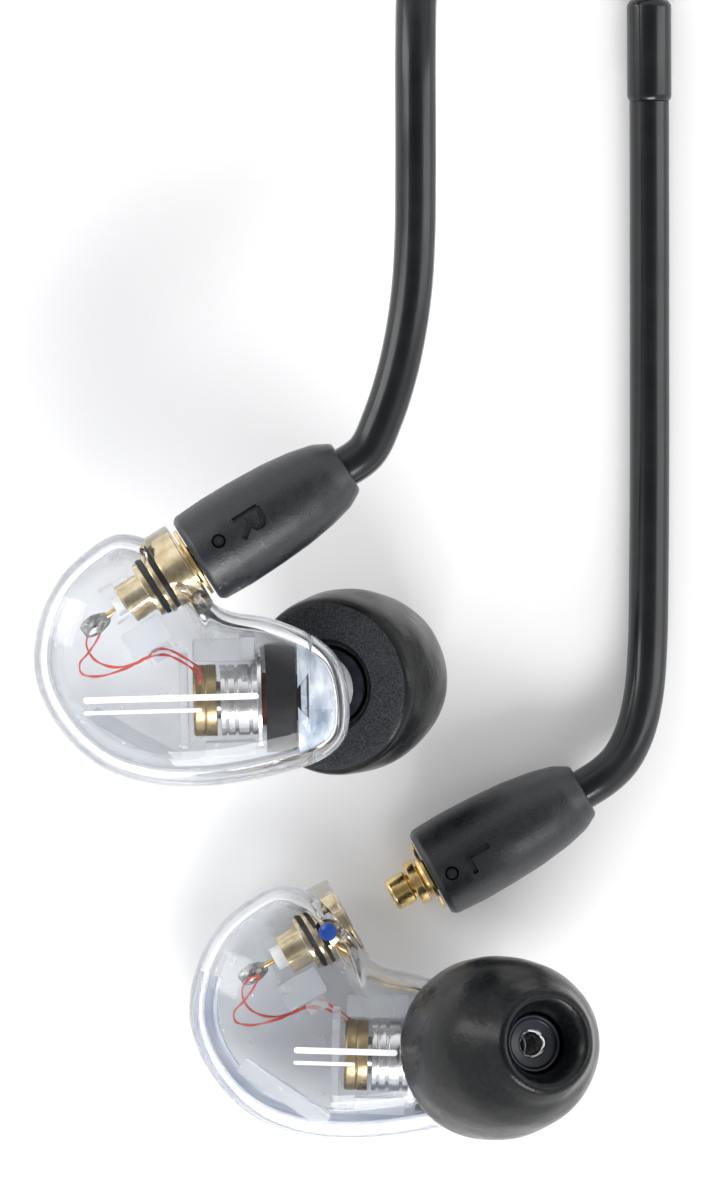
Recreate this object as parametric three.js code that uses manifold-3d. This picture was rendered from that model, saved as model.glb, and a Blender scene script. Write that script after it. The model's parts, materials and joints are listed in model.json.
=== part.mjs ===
// In ear monitors: a pair of clear earphones on a detachable cable, laid on a flat surface.
//
// Units are millimetres. +Z is up, +X and +Y lie in the surface, and the origin is the centre
// of the footprint of the two earphones with their cable boots. The right earphone stands on its
// foam tip with its outer face up. The left one lies on its outer face, unplugged from its boot.
// The rest of the cable is folded into a hank, held by a strap, in line with the earphones.

import * as THREE from 'three';
import { mergeVertices } from 'three/addons/utils/BufferGeometryUtils.js';
import Module from 'manifold-3d';

const wasm = await Module();
wasm.setup();

// ---------------------------------------------------------------- driving dimensions

const GAP = 0.3; // clearance kept between neighbouring pieces

// Earphone body. Its own axes: x towards the nozzle end, z towards the outer face,
// with z = 0 at the height of the cable socket.
const BODY_OUTLINE = [
  [-3.2, 9.1], [-5.6, 7.85], [-7.8, 5.6], [-9.2, 2.2], [-9.3, -1.0], [-7.9, -4.3], [-5.0, -7.25],
  [-1.4, -8.65], [3.0, -8.9], [8.4, -8.05], [11.3, -7.0], [12.6, -5.6], [12.85, -2.6], [12.1, 0.0],
  [10.4, 1.6], [7.5, 2.85], [3.9, 3.75], [1.6, 6.4], [-0.7, 8.5],
];
const BODY_CENTRE = [4.5, -2.3];
const BODY_MID = -1.0; // height of the widest section
const OUTER_HEIGHT = 4.6; // dome above the widest section
const INNER_DEPTH = 5.9; // belly below the widest section
const OUTER_FULLNESS = 3.2; // superellipse powers of the two faces
const INNER_FULLNESS = 2.8;
const WALL = 0.9;
const PARTING = -0.9; // lower edge of the outer shell

// Cable socket: the neck's end face, and the direction in which the cable leaves.
const SOCKET_FACE = [1.89, 6.82, 0];
const SOCKET_ANGLE = 30.5;
const NECK_RADIUS = 3.3;
const NECK_BORE = 2.55;
const NECK_LENGTH = 5.5;

// Nozzle and foam tip, measured along the nozzle from the foam's back face.
const TIP_BACK = [11.29, -2.14, -6.5];
const TIP_DIRECTION = [0.403, 0.0857, -0.911];
const NOZZLE_RADIUS = 1.3;
const NOZZLE_BORE = 0.85;
const NOZZLE_END = 9.2;

// Dynamic driver, lying along x.
const DRIVER_AXIS = [-2.86, -1.65]; // y and z of its axis
const DRIVER_FRONT_RADIUS = 4.0;
const DRIVER_CAN_RADIUS = 2.55;

// Cable.
const BOOT_LENGTH = 12.5;
const PLUGGED_GAP = 0.5; // boot face to neck face when plugged in
const UNPLUG_TRAVEL = 6.15;
const HOOK_DIAMETER = 2.9;
const COLLAR_DIAMETER = 3.2;
const BRANCH_DIAMETER = 2.1;

// Where each earphone lies: its neck face, its turn about the vertical, and which way up it is.
const SIDES = {
  right: { neck: [-8.96, 16.29, 18.95], turn: 1.6, faceDown: false, unplugged: 0 },
  left: { neck: [2.29, -9.11, 3.6], turn: -1.6, faceDown: true, unplugged: UNPLUG_TRAVEL },
};

// Hank: an oblong ring of the stored cable, long axis along Y.
const HANK_X = 7.36;
const HANK_SOUTH = 98.6; // centre of the near end's turns
const HANK_STRAIGHT = 44;
const HANK_OUTER = 18.1;
const HANK_INNER = 7.95;
const HANK_BASE = 0.9;
const HANK_TOP = 8.0;
const TIE_THICKNESS = 0.6;
const TIE_WIDTH = 6;
const TIE_START = HANK_SOUTH + 19;

// Slider and Y-split lie side by side with the plug in the hank's hole.
const PAIR_X = HANK_X + 3.6;
const PAIR_HEIGHT = 3.1;
const PAIR_SPREAD = 1.35; // half the distance between the two branches
const SPLIT_START = HANK_SOUTH + 16.3;
const SPLIT_LENGTH = 16;
const SPLIT_FLATNESS = 0.68; // height over width
const SLIDER_LENGTH = 8;
const SLIDER_HALF_WIDTH = 3.1;
const SLIDER_HALF_HEIGHT = 1.9;
const PLUG_X = HANK_X - 4.2;
const PLUG_HEIGHT = 4.2;
const PLUG_TIP = HANK_SOUTH + 3;
const PLUG_BARREL_LENGTH = 14;
const PLUG_BODY_LENGTH = 16;

// ---------------------------------------------------------------- materials

const finish = (color, roughness, metalness, opacity = 1) =>
  new THREE.MeshStandardMaterial({ color, roughness, metalness, opacity, transparent: opacity < 1 });

const materials = {
  clear: finish(0xe4e8ee, 0.08, 0, 0.35),
  gold: finish(0xc9a050, 0.25, 1),
  brass: finish(0x7a6238, 0.35, 1),
  steel: finish(0xb8b6b2, 0.3, 1),
  magnet: finish(0x5a5c60, 0.4, 1),
  copper: finish(0x9a4a2a, 0.4, 1),
  film: finish(0xd8d0c0, 0.3, 0, 0.6),
  solder: finish(0x8c8c8a, 0.35, 1),
  ptfe: finish(0xf2f0ea, 0.5, 0),
  redWire: finish(0xb02a20, 0.4, 0),
  blackPlastic: finish(0x26292c, 0.6, 0),
  hookTube: finish(0x2e3235, 0.4, 0),
  cableJacket: finish(0x1c1e20, 0.45, 0),
  foam: finish(0x303234, 0.9, 0),
  core: finish(0x0e1118, 0.2, 0),
  mesh: finish(0xb09a6a, 0.5, 0.6),
  blueDot: finish(0x1848a8, 0.3, 0),
  redDot: finish(0xb02030, 0.3, 0),
  strap: finish(0x18181a, 0.9, 0),
};

// ---------------------------------------------------------------- geometry helpers

// Keeps only the positions, joins equal vertices and drops triangles that have collapsed.
function closedGeometry(geometry) {
  const bare = geometry.clone();
  bare.deleteAttribute('normal');
  bare.deleteAttribute('uv');
  const merged = mergeVertices(bare, 1e-4);
  const kept = [];
  for (let i = 0; i < merged.index.count; i += 3) {
    const [a, b, c] = [0, 1, 2].map((k) => merged.index.getX(i + k));
    if (a !== b && b !== c && c !== a) kept.push(a, b, c);
  }
  merged.setIndex(kept);
  return merged;
}

function toSolid(geometry) {
  const closed = closedGeometry(geometry);
  return new wasm.Manifold(new wasm.Mesh({
    numProp: 3,
    vertProperties: new Float32Array(closed.attributes.position.array),
    triVerts: new Uint32Array(closed.index.array),
  }));
}

function toGeometry(solid) {
  const mesh = solid.getMesh();
  const geometry = new THREE.BufferGeometry();
  geometry.setAttribute('position', new THREE.BufferAttribute(mesh.vertProperties, 3));
  geometry.setIndex([...mesh.triVerts]);
  geometry.computeVertexNormals();
  return geometry;
}

const join = (...solids) => solids.reduce((sum, solid) => sum.add(solid));
const cut = (solid, ...tools) => tools.reduce((rest, tool) => rest.subtract(tool), solid);

// Mirrors a shape through its z = 0 plane and keeps its faces pointing out.
function mirrorZ(geometry) {
  const mirrored = closedGeometry(geometry).applyMatrix4(new THREE.Matrix4().makeScale(1, 1, -1));
  const index = mirrored.index.array;
  for (let i = 0; i < index.length; i += 3) [index[i], index[i + 1]] = [index[i + 1], index[i]];
  mirrored.computeVertexNormals();
  return mirrored;
}

// A placement whose local +Y runs along a direction.
function alongAxis(origin, direction) {
  const turn = new THREE.Quaternion().setFromUnitVectors(
    new THREE.Vector3(0, 1, 0), new THREE.Vector3(...direction).normalize());
  return new THREE.Matrix4().compose(new THREE.Vector3(...origin), turn, new THREE.Vector3(1, 1, 1));
}

// A body of revolution from [radius, height] pairs, its axis along +Y.
function turned(profile, sides = 20) {
  return new THREE.LatheGeometry(profile.map(([radius, height]) => new THREE.Vector2(radius, height)), sides);
}

// The [radius, height] profile of a plain rod or of a plain tube.
const rod = (radius, from, to) => [[0, from], [radius, from], [radius, to], [0, to]];
const pipe = (outer, inner, from, to) =>
  [[inner, from], [outer, from], [outer, to], [inner, to], [inner, from]];

// A round tube along a smooth curve through the given points.
function tube(points, diameter, steps, sides = 8) {
  const path = new THREE.CatmullRomCurve3(points.map((p) => new THREE.Vector3(...p)), false, 'centripetal');
  const section = new THREE.Shape();
  for (let i = 0; i < sides; i++) {
    const angle = (2 * Math.PI * i) / sides;
    const [x, y] = [Math.cos(angle) * diameter / 2, Math.sin(angle) * diameter / 2];
    if (i === 0) section.moveTo(x, y);
    else section.lineTo(x, y);
  }
  return new THREE.ExtrudeGeometry(section, { extrudePath: path, steps, curveSegments: 1 });
}

// An oblong outline with round ends about two centres on the Y axis of the shape.
function oblong(target, south, north, radius) {
  target.absarc(0, north, radius, 0, Math.PI, false);
  target.absarc(0, south, radius, Math.PI, 2 * Math.PI, false);
  return target;
}

// ---------------------------------------------------------------- earphone body

const outlineCurve = new THREE.CatmullRomCurve3(
  BODY_OUTLINE.map(([x, y]) => new THREE.Vector3(x, y, 0)), true, 'centripetal');

// A sphere reshaped to the body: its equator follows the outline, moved inwards by inset,
// and its two poles are the middles of the outer and the inner face.
function bodySkin(inset, segments, rings) {
  const skin = new THREE.SphereGeometry(1, segments, rings);
  const position = skin.attributes.position;
  const centre = new THREE.Vector3(...BODY_CENTRE, 0);
  for (let ring = 0; ring <= rings; ring++) {
    const latitude = Math.PI / 2 - (Math.PI * ring) / rings;
    const outer = latitude > 0;
    const power = 2 / (outer ? OUTER_FULLNESS : INNER_FULLNESS);
    const spread = Math.max(Math.cos(latitude), 0) ** power;
    const rise = Math.abs(Math.sin(latitude)) ** power;
    const height = BODY_MID + (outer ? OUTER_HEIGHT - inset : inset - INNER_DEPTH) * rise;
    for (let segment = 0; segment <= segments; segment++) {
      const share = (segment % segments) / segments;
      const edge = outlineCurve.getPointAt(share);
      const tangent = outlineCurve.getTangentAt(share);
      edge.add(new THREE.Vector3(-tangent.y, tangent.x, 0).multiplyScalar(inset));
      edge.sub(centre).multiplyScalar(spread).add(centre);
      position.setXYZ(ring * (segments + 1) + segment, edge.x, edge.y, height);
    }
  }
  return skin;
}

const socketDirection = [
  Math.cos(THREE.MathUtils.degToRad(SOCKET_ANGLE)), Math.sin(THREE.MathUtils.degToRad(SOCKET_ANGLE)), 0];
const inSocket = alongAxis(SOCKET_FACE, socketDirection);
const inNozzle = alongAxis(TIP_BACK, TIP_DIRECTION);
const inDriver = alongAxis([0, ...DRIVER_AXIS], [1, 0, 0]);
const placed = (geometry, matrix) => geometry.clone().applyMatrix4(matrix);

const nozzleOuter = [
  [0, -5], [2.5, -5], [2.7, -2.6], [2.5, -0.9], [1.7, -0.4], [NOZZLE_RADIUS, 0.2],
  [NOZZLE_RADIUS, NOZZLE_END], [0, NOZZLE_END]];
const nozzleInner = [
  [0, -6.5], [1.8, -6.5], [1.9, -2.6], [1.6, -1.4], [NOZZLE_BORE, 0.0],
  [NOZZLE_BORE, NOZZLE_END + 0.6], [0, NOZZLE_END + 0.6]];

// The marker sits in a round window in the neck's inner side.
const MARKER_AT = [0.38, 5.93];
const MARKER_WINDOW = 0.95;
const MARKER_RADIUS = 0.65;
const MARKER_THICKNESS = 0.6;
const MARKER_HEIGHT = -3.1;

function bodyShells() {
  const outside = join(
    toSolid(bodySkin(0, 36, 12)),
    toSolid(placed(turned(rod(NECK_RADIUS, -NECK_LENGTH, 0), 24), inSocket)),
    toSolid(placed(turned(nozzleOuter, 20), inNozzle)));
  const inside = join(
    toSolid(bodySkin(WALL, 28, 10)),
    toSolid(placed(turned(rod(NECK_BORE, -NECK_LENGTH - 1, 1), 20), inSocket)),
    toSolid(placed(turned(nozzleInner, 16), inNozzle)),
    toSolid(placed(turned(rod(DRIVER_FRONT_RADIUS + GAP, 6.1, 10.1), 24), inDriver)),
    toSolid(new THREE.CylinderGeometry(MARKER_WINDOW, MARKER_WINDOW, 2.2, 16)
      .rotateX(Math.PI / 2).translate(...MARKER_AT, -NECK_RADIUS)));
  const shell = cut(outside, inside);
  const half = (low, high) => toSolid(new THREE.BoxGeometry(60, 60, high - low)
    .translate(0, 0, (low + high) / 2));
  return {
    outer_shell: toGeometry(shell.intersect(half(PARTING, 10))),
    inner_shell: toGeometry(shell.intersect(half(-30, PARTING - GAP))),
  };
}

// ---------------------------------------------------------------- parts inside the earphone

const socketParts = {
  jack_body: turned([
    [1.95, -0.2], [1.95, -1.5], [1.5, -1.5], [1.5, -3.25], [1.15, -3.25], [1.15, -5.3], [1.5, -5.3],
    [1.5, -3.6], [2.1, -3.6], [2.1, -3.2], [1.8, -3.2], [1.8, -2.75], [2.3, -2.75], [2.3, -2.4],
    [1.8, -2.4], [1.8, -2.0], [2.25, -2.0], [2.25, -0.2], [1.95, -0.2]], 16),
  jack_insulator: turned(pipe(0.85, 0.5, -6.1, -3.5), 12),
  jack_contact: turned(rod(0.2, -6.6, -3.2), 8),
  solder_joint: new THREE.SphereGeometry(0.75, 10, 6).scale(1, 1.3, 0.9).translate(0.1, -7.9, 0),
};

const driverParts = {
  driver_cup: turned([
    [0, 1.84], [DRIVER_CAN_RADIUS, 1.84], [DRIVER_CAN_RADIUS, 3.5], [2.2, 3.5], [2.2, 2.2], [0, 2.2]], 18),
  driver_magnet: turned(rod(1.35, 2.5, 4.6), 16),
  driver_plate: turned(rod(1.35, 4.9, 5.5), 16),
  driver_frame: turned([
    [2.25, 3.8], [DRIVER_CAN_RADIUS, 3.8], [DRIVER_CAN_RADIUS, 6.4], [3.7, 6.4], [3.7, 6.7],
    [2.25, 6.7], [2.25, 3.8]], 18),
  voice_coil: turned(pipe(1.9, 1.65, 4.9, 7.2), 16),
  diaphragm: turned([
    [0, 8.1], [1.0, 7.95], [1.9, 7.55], [3.0, 7.55], [3.0, 7.75], [2.0, 7.75], [1.1, 8.15], [0, 8.3]], 16),
  driver_front_ring: turned(pipe(DRIVER_FRONT_RADIUS, 3.3, 7.0, 9.1), 22),
  gasket: turned(pipe(3.9, 3.2, 9.4, 9.8), 18),
};

const nozzleParts = {
  nozzle_damper: turned(rod(0.55, 1.5, 2.1), 12),
};

const tipParts = {
  tip_core: turned([
    [1.6, 0.4], [2.7, 0.4], [2.7, 0.8], [2.1, 1.3], [2.1, 9.5], [1.6, 9.5], [1.6, 0.4]], 16),
  tip_foam: turned([
    [3.0, 0.15], [5.9, 0.0], [6.3, 0.4], [6.55, 2.2], [6.6, 4.0], [6.4, 6.0], [5.9, 8.0], [5.15, 9.5],
    [4.2, 10.7], [3.9, 11.3], [3.5, 11.9], [3.0, 12.1], [2.5, 11.8], [2.1, 11.0], [2.1, 9.9],
    [2.4, 9.8], [2.4, 1.7], [3.0, 1.1], [3.0, 0.15]], 22),
};

// The two lead wires part at the solder joint, cross, and meet again at the driver's rear.
const LEAD_DIAMETER = 0.3;
const LEAD_START = [-4.35, 2.6, -1.0];
const LEAD_END = [2.35, -1.6, 1.3];
const LEAD_A = [
  LEAD_START, [-4.8, 1.7, -1.4], [-5.5, 0.7, -1.5], [-6.1, 0.0, -1.5], [-6.0, -0.7, -1.5],
  [-4.9, -0.95, -1.5], [-2.8, -0.4, -1.0], [-1.3, 0.3, 0.0], [0.0, 0.45, 0.8], [1.2, -0.1, 1.4],
  [2.2, -0.95, 1.5], LEAD_END];
const LEAD_B = [
  LEAD_START, [-5.2, 2.3, -1.2], [-5.6, 1.4, -1.5], [-5.1, 0.3, -1.5], [-3.8, -0.3, -1.2],
  [-1.9, 0.0, -0.3], [-0.3, 0.9, 0.6], [1.2, 0.3, 1.3], [2.4, -0.7, 1.5], LEAD_END];

function driverLeads() {
  const strands = [LEAD_A, LEAD_B].map((route) => toSolid(tube(route, LEAD_DIAMETER, 12, 5)));
  return toGeometry(join(...strands));
}

function earphoneParts() {
  const parts = bodyShells();
  const add = (group, matrix) => {
    for (const [name, geometry] of Object.entries(group)) parts[name] = placed(geometry, matrix);
  };
  add(socketParts, inSocket);
  add(driverParts, inDriver);
  add(nozzleParts, inNozzle);
  add(tipParts, inNozzle);
  parts.driver_leads = driverLeads();
  parts.marker_dot = new THREE.CylinderGeometry(MARKER_RADIUS, MARKER_RADIUS, MARKER_THICKNESS, 14)
    .rotateX(Math.PI / 2).translate(...MARKER_AT, MARKER_HEIGHT);
  return parts;
}

const partMaterials = {
  outer_shell: 'clear', inner_shell: 'clear', jack_body: 'gold', jack_insulator: 'ptfe',
  jack_contact: 'gold', solder_joint: 'solder', driver_cup: 'brass', driver_magnet: 'magnet',
  driver_plate: 'steel', driver_frame: 'steel', voice_coil: 'copper', diaphragm: 'film',
  driver_front_ring: 'blackPlastic', gasket: 'film', nozzle_damper: 'mesh', tip_core: 'core',
  tip_foam: 'foam', driver_leads: 'redWire', marker_dot: 'blueDot',
};

// ---------------------------------------------------------------- plug and boot, from the boot's face

const connectorParts = {
  boot: ['blackPlastic', turned([
    [0, 2.5], [1.5, 2.5], [1.5, 0], [3.1, 0], [3.4, 0.35], [3.5, 2.6], [3.45, 5.0], [3.3, 7.5],
    [3.0, 9.65], [2.6, 11.3], [2.05, 12.3], [1.85, BOOT_LENGTH], [0, BOOT_LENGTH]], 22)],
  plug_shell: ['gold', turned([
    [0.9, -3.2], [1.05, -3.2], [1.2, -3.0], [1.2, -1.75], [1.05, -1.75], [1.05, -0.35], [2.6, -0.35],
    [2.6, -0.1], [1.2, -0.1], [1.2, 2.2], [0, 2.2], [0, 1.8], [0.9, 1.8], [0.9, -3.2]], 18)],
  snap_ring: ['gold', turned(pipe(1.65, 1.35, -1.45, -0.75), 18)],
  plug_insulator: ['ptfe', turned(pipe(0.62, 0.4, -2.3, 1.2), 12)],
  plug_pin: ['gold', turned(rod(0.15, -2.9, 1.5), 8)],
};

// ---------------------------------------------------------------- cable routes

// Each hook's stiff tube starts at the rear of its boot.
const HOOK_ROUTES = {
  right: [
    [3.5, 24.25, 18.95], [4.65, 26.6, 18.9], [5.6, 29.5, 18.8], [6.3, 32.7, 18.7], [6.75, 36.0, 18.55],
    [6.95, 39.5, 18.4], [7, 43.5, 18.25], [7, 48.0, 18.1], [7, 53.0, 17.6], [7.15, 57.5, 16.2],
    [8, 61.5, 13.5], [9.7, 64.7, 10.0], [11.6, 67.0, 6.6]],
  left: [
    [20.5, 1.1, 3.55], [21.75, 2.3, 3.2], [22.75, 4.2, 2.7], [23.4, 6.8, 2.2], [23.7, 10.2, 1.75],
    [23.82, 16.6, 1.6], [23.86, 24.0, 1.6], [23.86, 32.0, 1.6], [23.86, 40.0, 1.6], [23.84, 49.25, 1.6]],
};
const COLLARS = {
  right: [[11.75, 67.2, 6.35], [15.6, 71.4, 2.15]],
  left: [[23.84, 49.55, 1.6], [23.82, 56.85, 1.6]],
};
const BRANCH_ROUTES = {
  right: [
    [15.82, 71.62, 1.95], [17.2, 73.2, 1.3], [19, 75.7, 1.1], [20.5, 79.0, 1.2], [21.4, 82.6, 1.65],
    [21.66, 85.9, 1.95]],
  left: [
    [23.82, 57.15, 1.5], [23.81, 62.0, 1.15], [23.81, 68.0, 1.07], [23.81, 74.0, 1.07],
    [23.81, 80.0, 1.3], [23.81, 88.7, 1.95]],
};

// ---------------------------------------------------------------- stored cable

// The near end of the hank's hole is filled, because the branches turn in through it.
function hankSolid() {
  const outline = oblong(new THREE.Shape(), 0, HANK_STRAIGHT, HANK_OUTER);
  const hole = new THREE.Path();
  hole.absarc(0, HANK_STRAIGHT, HANK_INNER, 0, Math.PI, false);
  hole.lineTo(-HANK_INNER, 1);
  hole.lineTo(HANK_INNER, 1);
  outline.holes.push(hole);
  const options = { depth: HANK_TOP - HANK_BASE, bevelEnabled: false, curveSegments: 16 };
  return new THREE.ExtrudeGeometry(outline, options).translate(HANK_X, HANK_SOUTH, HANK_BASE);
}

function roundedRectangle(target, halfWidth, low, high, radius) {
  target.absarc(halfWidth - radius, high - radius, radius, 0, Math.PI / 2, false);
  target.absarc(radius - halfWidth, high - radius, radius, Math.PI / 2, Math.PI, false);
  target.absarc(radius - halfWidth, low + radius, radius, Math.PI, 1.5 * Math.PI, false);
  target.absarc(halfWidth - radius, low + radius, radius, 1.5 * Math.PI, 2 * Math.PI, false);
  return target;
}

// Shapes drawn in x and z, extruded along +Y from a start position.
function alongY(shape, length, start) {
  return new THREE.ExtrudeGeometry(shape, { depth: length, bevelEnabled: false, curveSegments: 5 })
    .rotateX(Math.PI / 2).translate(0, length, 0).translate(...start);
}

function tieBand() {
  const inner = HANK_OUTER + GAP;
  const band = roundedRectangle(
    new THREE.Shape(), inner + TIE_THICKNESS, 0, HANK_TOP + GAP + TIE_THICKNESS, 1.6);
  band.holes.push(roundedRectangle(new THREE.Path(), inner, TIE_THICKNESS, HANK_TOP + GAP, 1.0));
  return alongY(band, TIE_WIDTH, [HANK_X, TIE_START, 0]);
}

function sliderSolid() {
  const section = roundedRectangle(
    new THREE.Shape(), SLIDER_HALF_WIDTH, -SLIDER_HALF_HEIGHT, SLIDER_HALF_HEIGHT, 1.6);
  for (const side of [-1, 1]) {
    const hole = new THREE.Path();
    hole.absarc(side * PAIR_SPREAD, 0, BRANCH_DIAMETER / 2 + 0.1, 0, 2 * Math.PI, true);
    section.holes.push(hole);
  }
  return alongY(section, SLIDER_LENGTH, [PAIR_X, SPLIT_START - GAP - SLIDER_LENGTH, PAIR_HEIGHT]);
}

function splitSolid() {
  const profile = [
    [0, 0], [2.6, 0], [2.95, 0.5], [3.0, 5], [2.6, 9], [1.9, 13], [1.75, SPLIT_LENGTH], [0, SPLIT_LENGTH]];
  return turned(profile).scale(1, 1, SPLIT_FLATNESS).translate(PAIR_X, SPLIT_START, PAIR_HEIGHT);
}

function plugParts() {
  const body = turned([
    [0, 0], [2.7, 0], [3.05, 0.5], [3.05, 9.5], [2.4, 11.5], [1.9, 13.5],
    [1.75, PLUG_BODY_LENGTH], [0, PLUG_BODY_LENGTH]])
    .translate(PLUG_X, PLUG_TIP + PLUG_BARREL_LENGTH + GAP, PLUG_HEIGHT);
  const barrel = turned([
    [0, 0], [0.7, 0.15], [1.6, 1.6], [1.15, 2.7], [1.75, 3.4],
    [1.75, PLUG_BARREL_LENGTH], [0, PLUG_BARREL_LENGTH]])
    .translate(PLUG_X, PLUG_TIP, PLUG_HEIGHT);
  return { plug_body: body, plug_barrel: barrel };
}

// ---------------------------------------------------------------- assembly

const monitors = new THREE.Group();

function addMesh(parent, name, geometry, material) {
  const mesh = new THREE.Mesh(geometry, materials[material]);
  mesh.name = name;
  parent.add(mesh);
}

for (const [side, { neck, turn, faceDown, unplugged }] of Object.entries(SIDES)) {
  const earphone = new THREE.Group();
  const turnRadians = THREE.MathUtils.degToRad(turn);
  earphone.rotation.z = turnRadians;
  earphone.position.set(...neck)
    .sub(new THREE.Vector3(...SOCKET_FACE).applyAxisAngle(new THREE.Vector3(0, 0, 1), turnRadians));
  for (const [part, geometry] of Object.entries(earphoneParts())) {
    const material = part === 'marker_dot' && side === 'right' ? 'redDot' : partMaterials[part];
    addMesh(earphone, `${side}_${part}`, faceDown ? mirrorZ(geometry) : geometry, material);
  }
  monitors.add(earphone);

  const axisAngle = THREE.MathUtils.degToRad(SOCKET_ANGLE + turn);
  const outward = new THREE.Vector3(Math.cos(axisAngle), Math.sin(axisAngle), 0);
  const connector = new THREE.Group();
  connector.position.set(...neck).addScaledVector(outward, PLUGGED_GAP + unplugged);
  connector.rotation.z = axisAngle - Math.PI / 2;
  for (const [part, [material, geometry]] of Object.entries(connectorParts)) {
    addMesh(connector, `${side}_${part}`, geometry, material);
  }
  monitors.add(connector);

  const bootRear = connector.position.clone().addScaledVector(outward, BOOT_LENGTH + GAP).toArray();
  addMesh(monitors, `${side}_hook`, tube([bootRear, ...HOOK_ROUTES[side]], HOOK_DIAMETER, 14), 'hookTube');
  addMesh(monitors, `${side}_collar`, tube(COLLARS[side], COLLAR_DIAMETER, 2, 12), 'blackPlastic');
  addMesh(monitors, `${side}_branch`, tube(BRANCH_ROUTES[side], BRANCH_DIAMETER, 10), 'cableJacket');
}

addMesh(monitors, 'hank', hankSolid(), 'cableJacket');
addMesh(monitors, 'tie', tieBand(), 'strap');
addMesh(monitors, 'slider', sliderSolid(), 'blackPlastic');
addMesh(monitors, 'y_split', splitSolid(), 'blackPlastic');
for (const [name, geometry] of Object.entries(plugParts())) {
  addMesh(monitors, name, geometry, name === 'plug_barrel' ? 'gold' : 'blackPlastic');
}

export default monitors;
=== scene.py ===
"""In ear monitors: clear earphones on a detachable cable, lying on a pale surface, seen from above.

Lengths named here are millimetres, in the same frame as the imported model, and are turned into
metres as each piece is placed.
"""
import json
import math

import bmesh
import bpy
from mathutils import Matrix, Vector


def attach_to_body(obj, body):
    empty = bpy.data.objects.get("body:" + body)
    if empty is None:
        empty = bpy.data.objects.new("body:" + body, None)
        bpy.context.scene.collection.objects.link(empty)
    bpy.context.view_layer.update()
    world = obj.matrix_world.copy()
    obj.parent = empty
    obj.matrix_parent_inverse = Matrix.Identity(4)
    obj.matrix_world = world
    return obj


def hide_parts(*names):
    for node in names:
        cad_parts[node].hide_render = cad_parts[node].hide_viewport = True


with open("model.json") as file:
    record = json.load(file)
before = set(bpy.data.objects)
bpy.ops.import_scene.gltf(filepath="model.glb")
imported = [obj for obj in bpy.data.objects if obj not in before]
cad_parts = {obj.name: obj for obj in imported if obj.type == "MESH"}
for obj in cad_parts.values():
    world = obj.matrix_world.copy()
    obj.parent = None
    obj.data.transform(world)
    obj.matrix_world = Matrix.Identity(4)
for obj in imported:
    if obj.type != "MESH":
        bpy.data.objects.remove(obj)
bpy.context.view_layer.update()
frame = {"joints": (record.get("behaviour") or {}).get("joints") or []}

# ---------------------------------------------------------------- sizes

MM = 0.001
JOINTS = {joint["name"]: joint for joint in frame["joints"]}
SIDES = ("right", "left")

# Earphone body. x towards the nozzle, z towards the outer face, z = 0 at the cable socket.
BODY_OUTLINE = [
    (-3.2, 9.1), (-5.6, 7.85), (-7.8, 5.6), (-9.2, 2.2), (-9.3, -1.0), (-7.9, -4.3), (-5.0, -7.25),
    (-1.4, -8.65), (3.0, -8.9), (8.4, -8.05), (11.3, -7.0), (12.6, -5.6), (12.85, -2.6), (12.1, 0.0),
    (10.4, 1.6), (7.5, 2.85), (3.9, 3.75), (1.6, 6.4), (-0.7, 8.5),
]
BODY_CENTRE = (4.5, -2.3)
BODY_MID = -1.0
OUTER_HEIGHT = 4.6
INNER_DEPTH = 5.9
OUTER_FULLNESS = 3.2
INNER_FULLNESS = 2.8
WALL = 0.9
PARTING = -1.05
PARTING_GAP = 0.06

SOCKET_FACE = Vector((1.89, 6.82, 0.0))
SOCKET_ANGLE = 30.5
NECK_RADIUS = 3.3
NECK_BORE = 2.55
NECK_LENGTH = 5.5
TIP_BACK = Vector((11.29, -2.14, -6.5))
TIP_DIRECTION = Vector((0.403, 0.0857, -0.911))
NOZZLE_RADIUS = 1.3
NOZZLE_BORE = 0.85
NOZZLE_END = 9.2
DRIVER_CENTRE = Vector((0.0, -2.86, -1.65))
DRIVER_FRONT_RADIUS = 4.0
MARKER_AT = (0.38, 5.93)

BOOT_LENGTH = 12.5
PLUGGED_GAP = 0.5
HOOK_DIAMETER = 2.9
COLLAR_DIAMETER = 3.2
BRANCH_DIAMETER = 2.1
MAIN_DIAMETER = 2.5

# Hank: two centres of turns on one line along Y, the branches below, the main cable above.
HANK_X = 7.36
HANK_SOUTH = 98.6
HANK_NORTH = HANK_SOUTH + 44
HANK_BASE = 0.9
HANK_TOP = 8.0
HANK_OUTER = 18.1
BRANCH_PITCH = 2.15
BRANCH_INNER = 10.0
MAIN_PITCH = 2.55
MAIN_INNER = 9.2
PAIR_X = HANK_X + 3.6
PAIR_SPREAD = 1.35
PAIR_HEIGHT = 3.1
SPLIT_START = HANK_SOUTH + 16.3
SPLIT_LENGTH = 16
SLIDER_LENGTH = 8
PLUG_X = HANK_X - 4.2
PLUG_HEIGHT = 4.2
PLUG_TIP = HANK_SOUTH + 3
PLUG_BARREL_LENGTH = 14
PLUG_BODY_LENGTH = 16
RIB_DEPTH = 0.3

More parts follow.
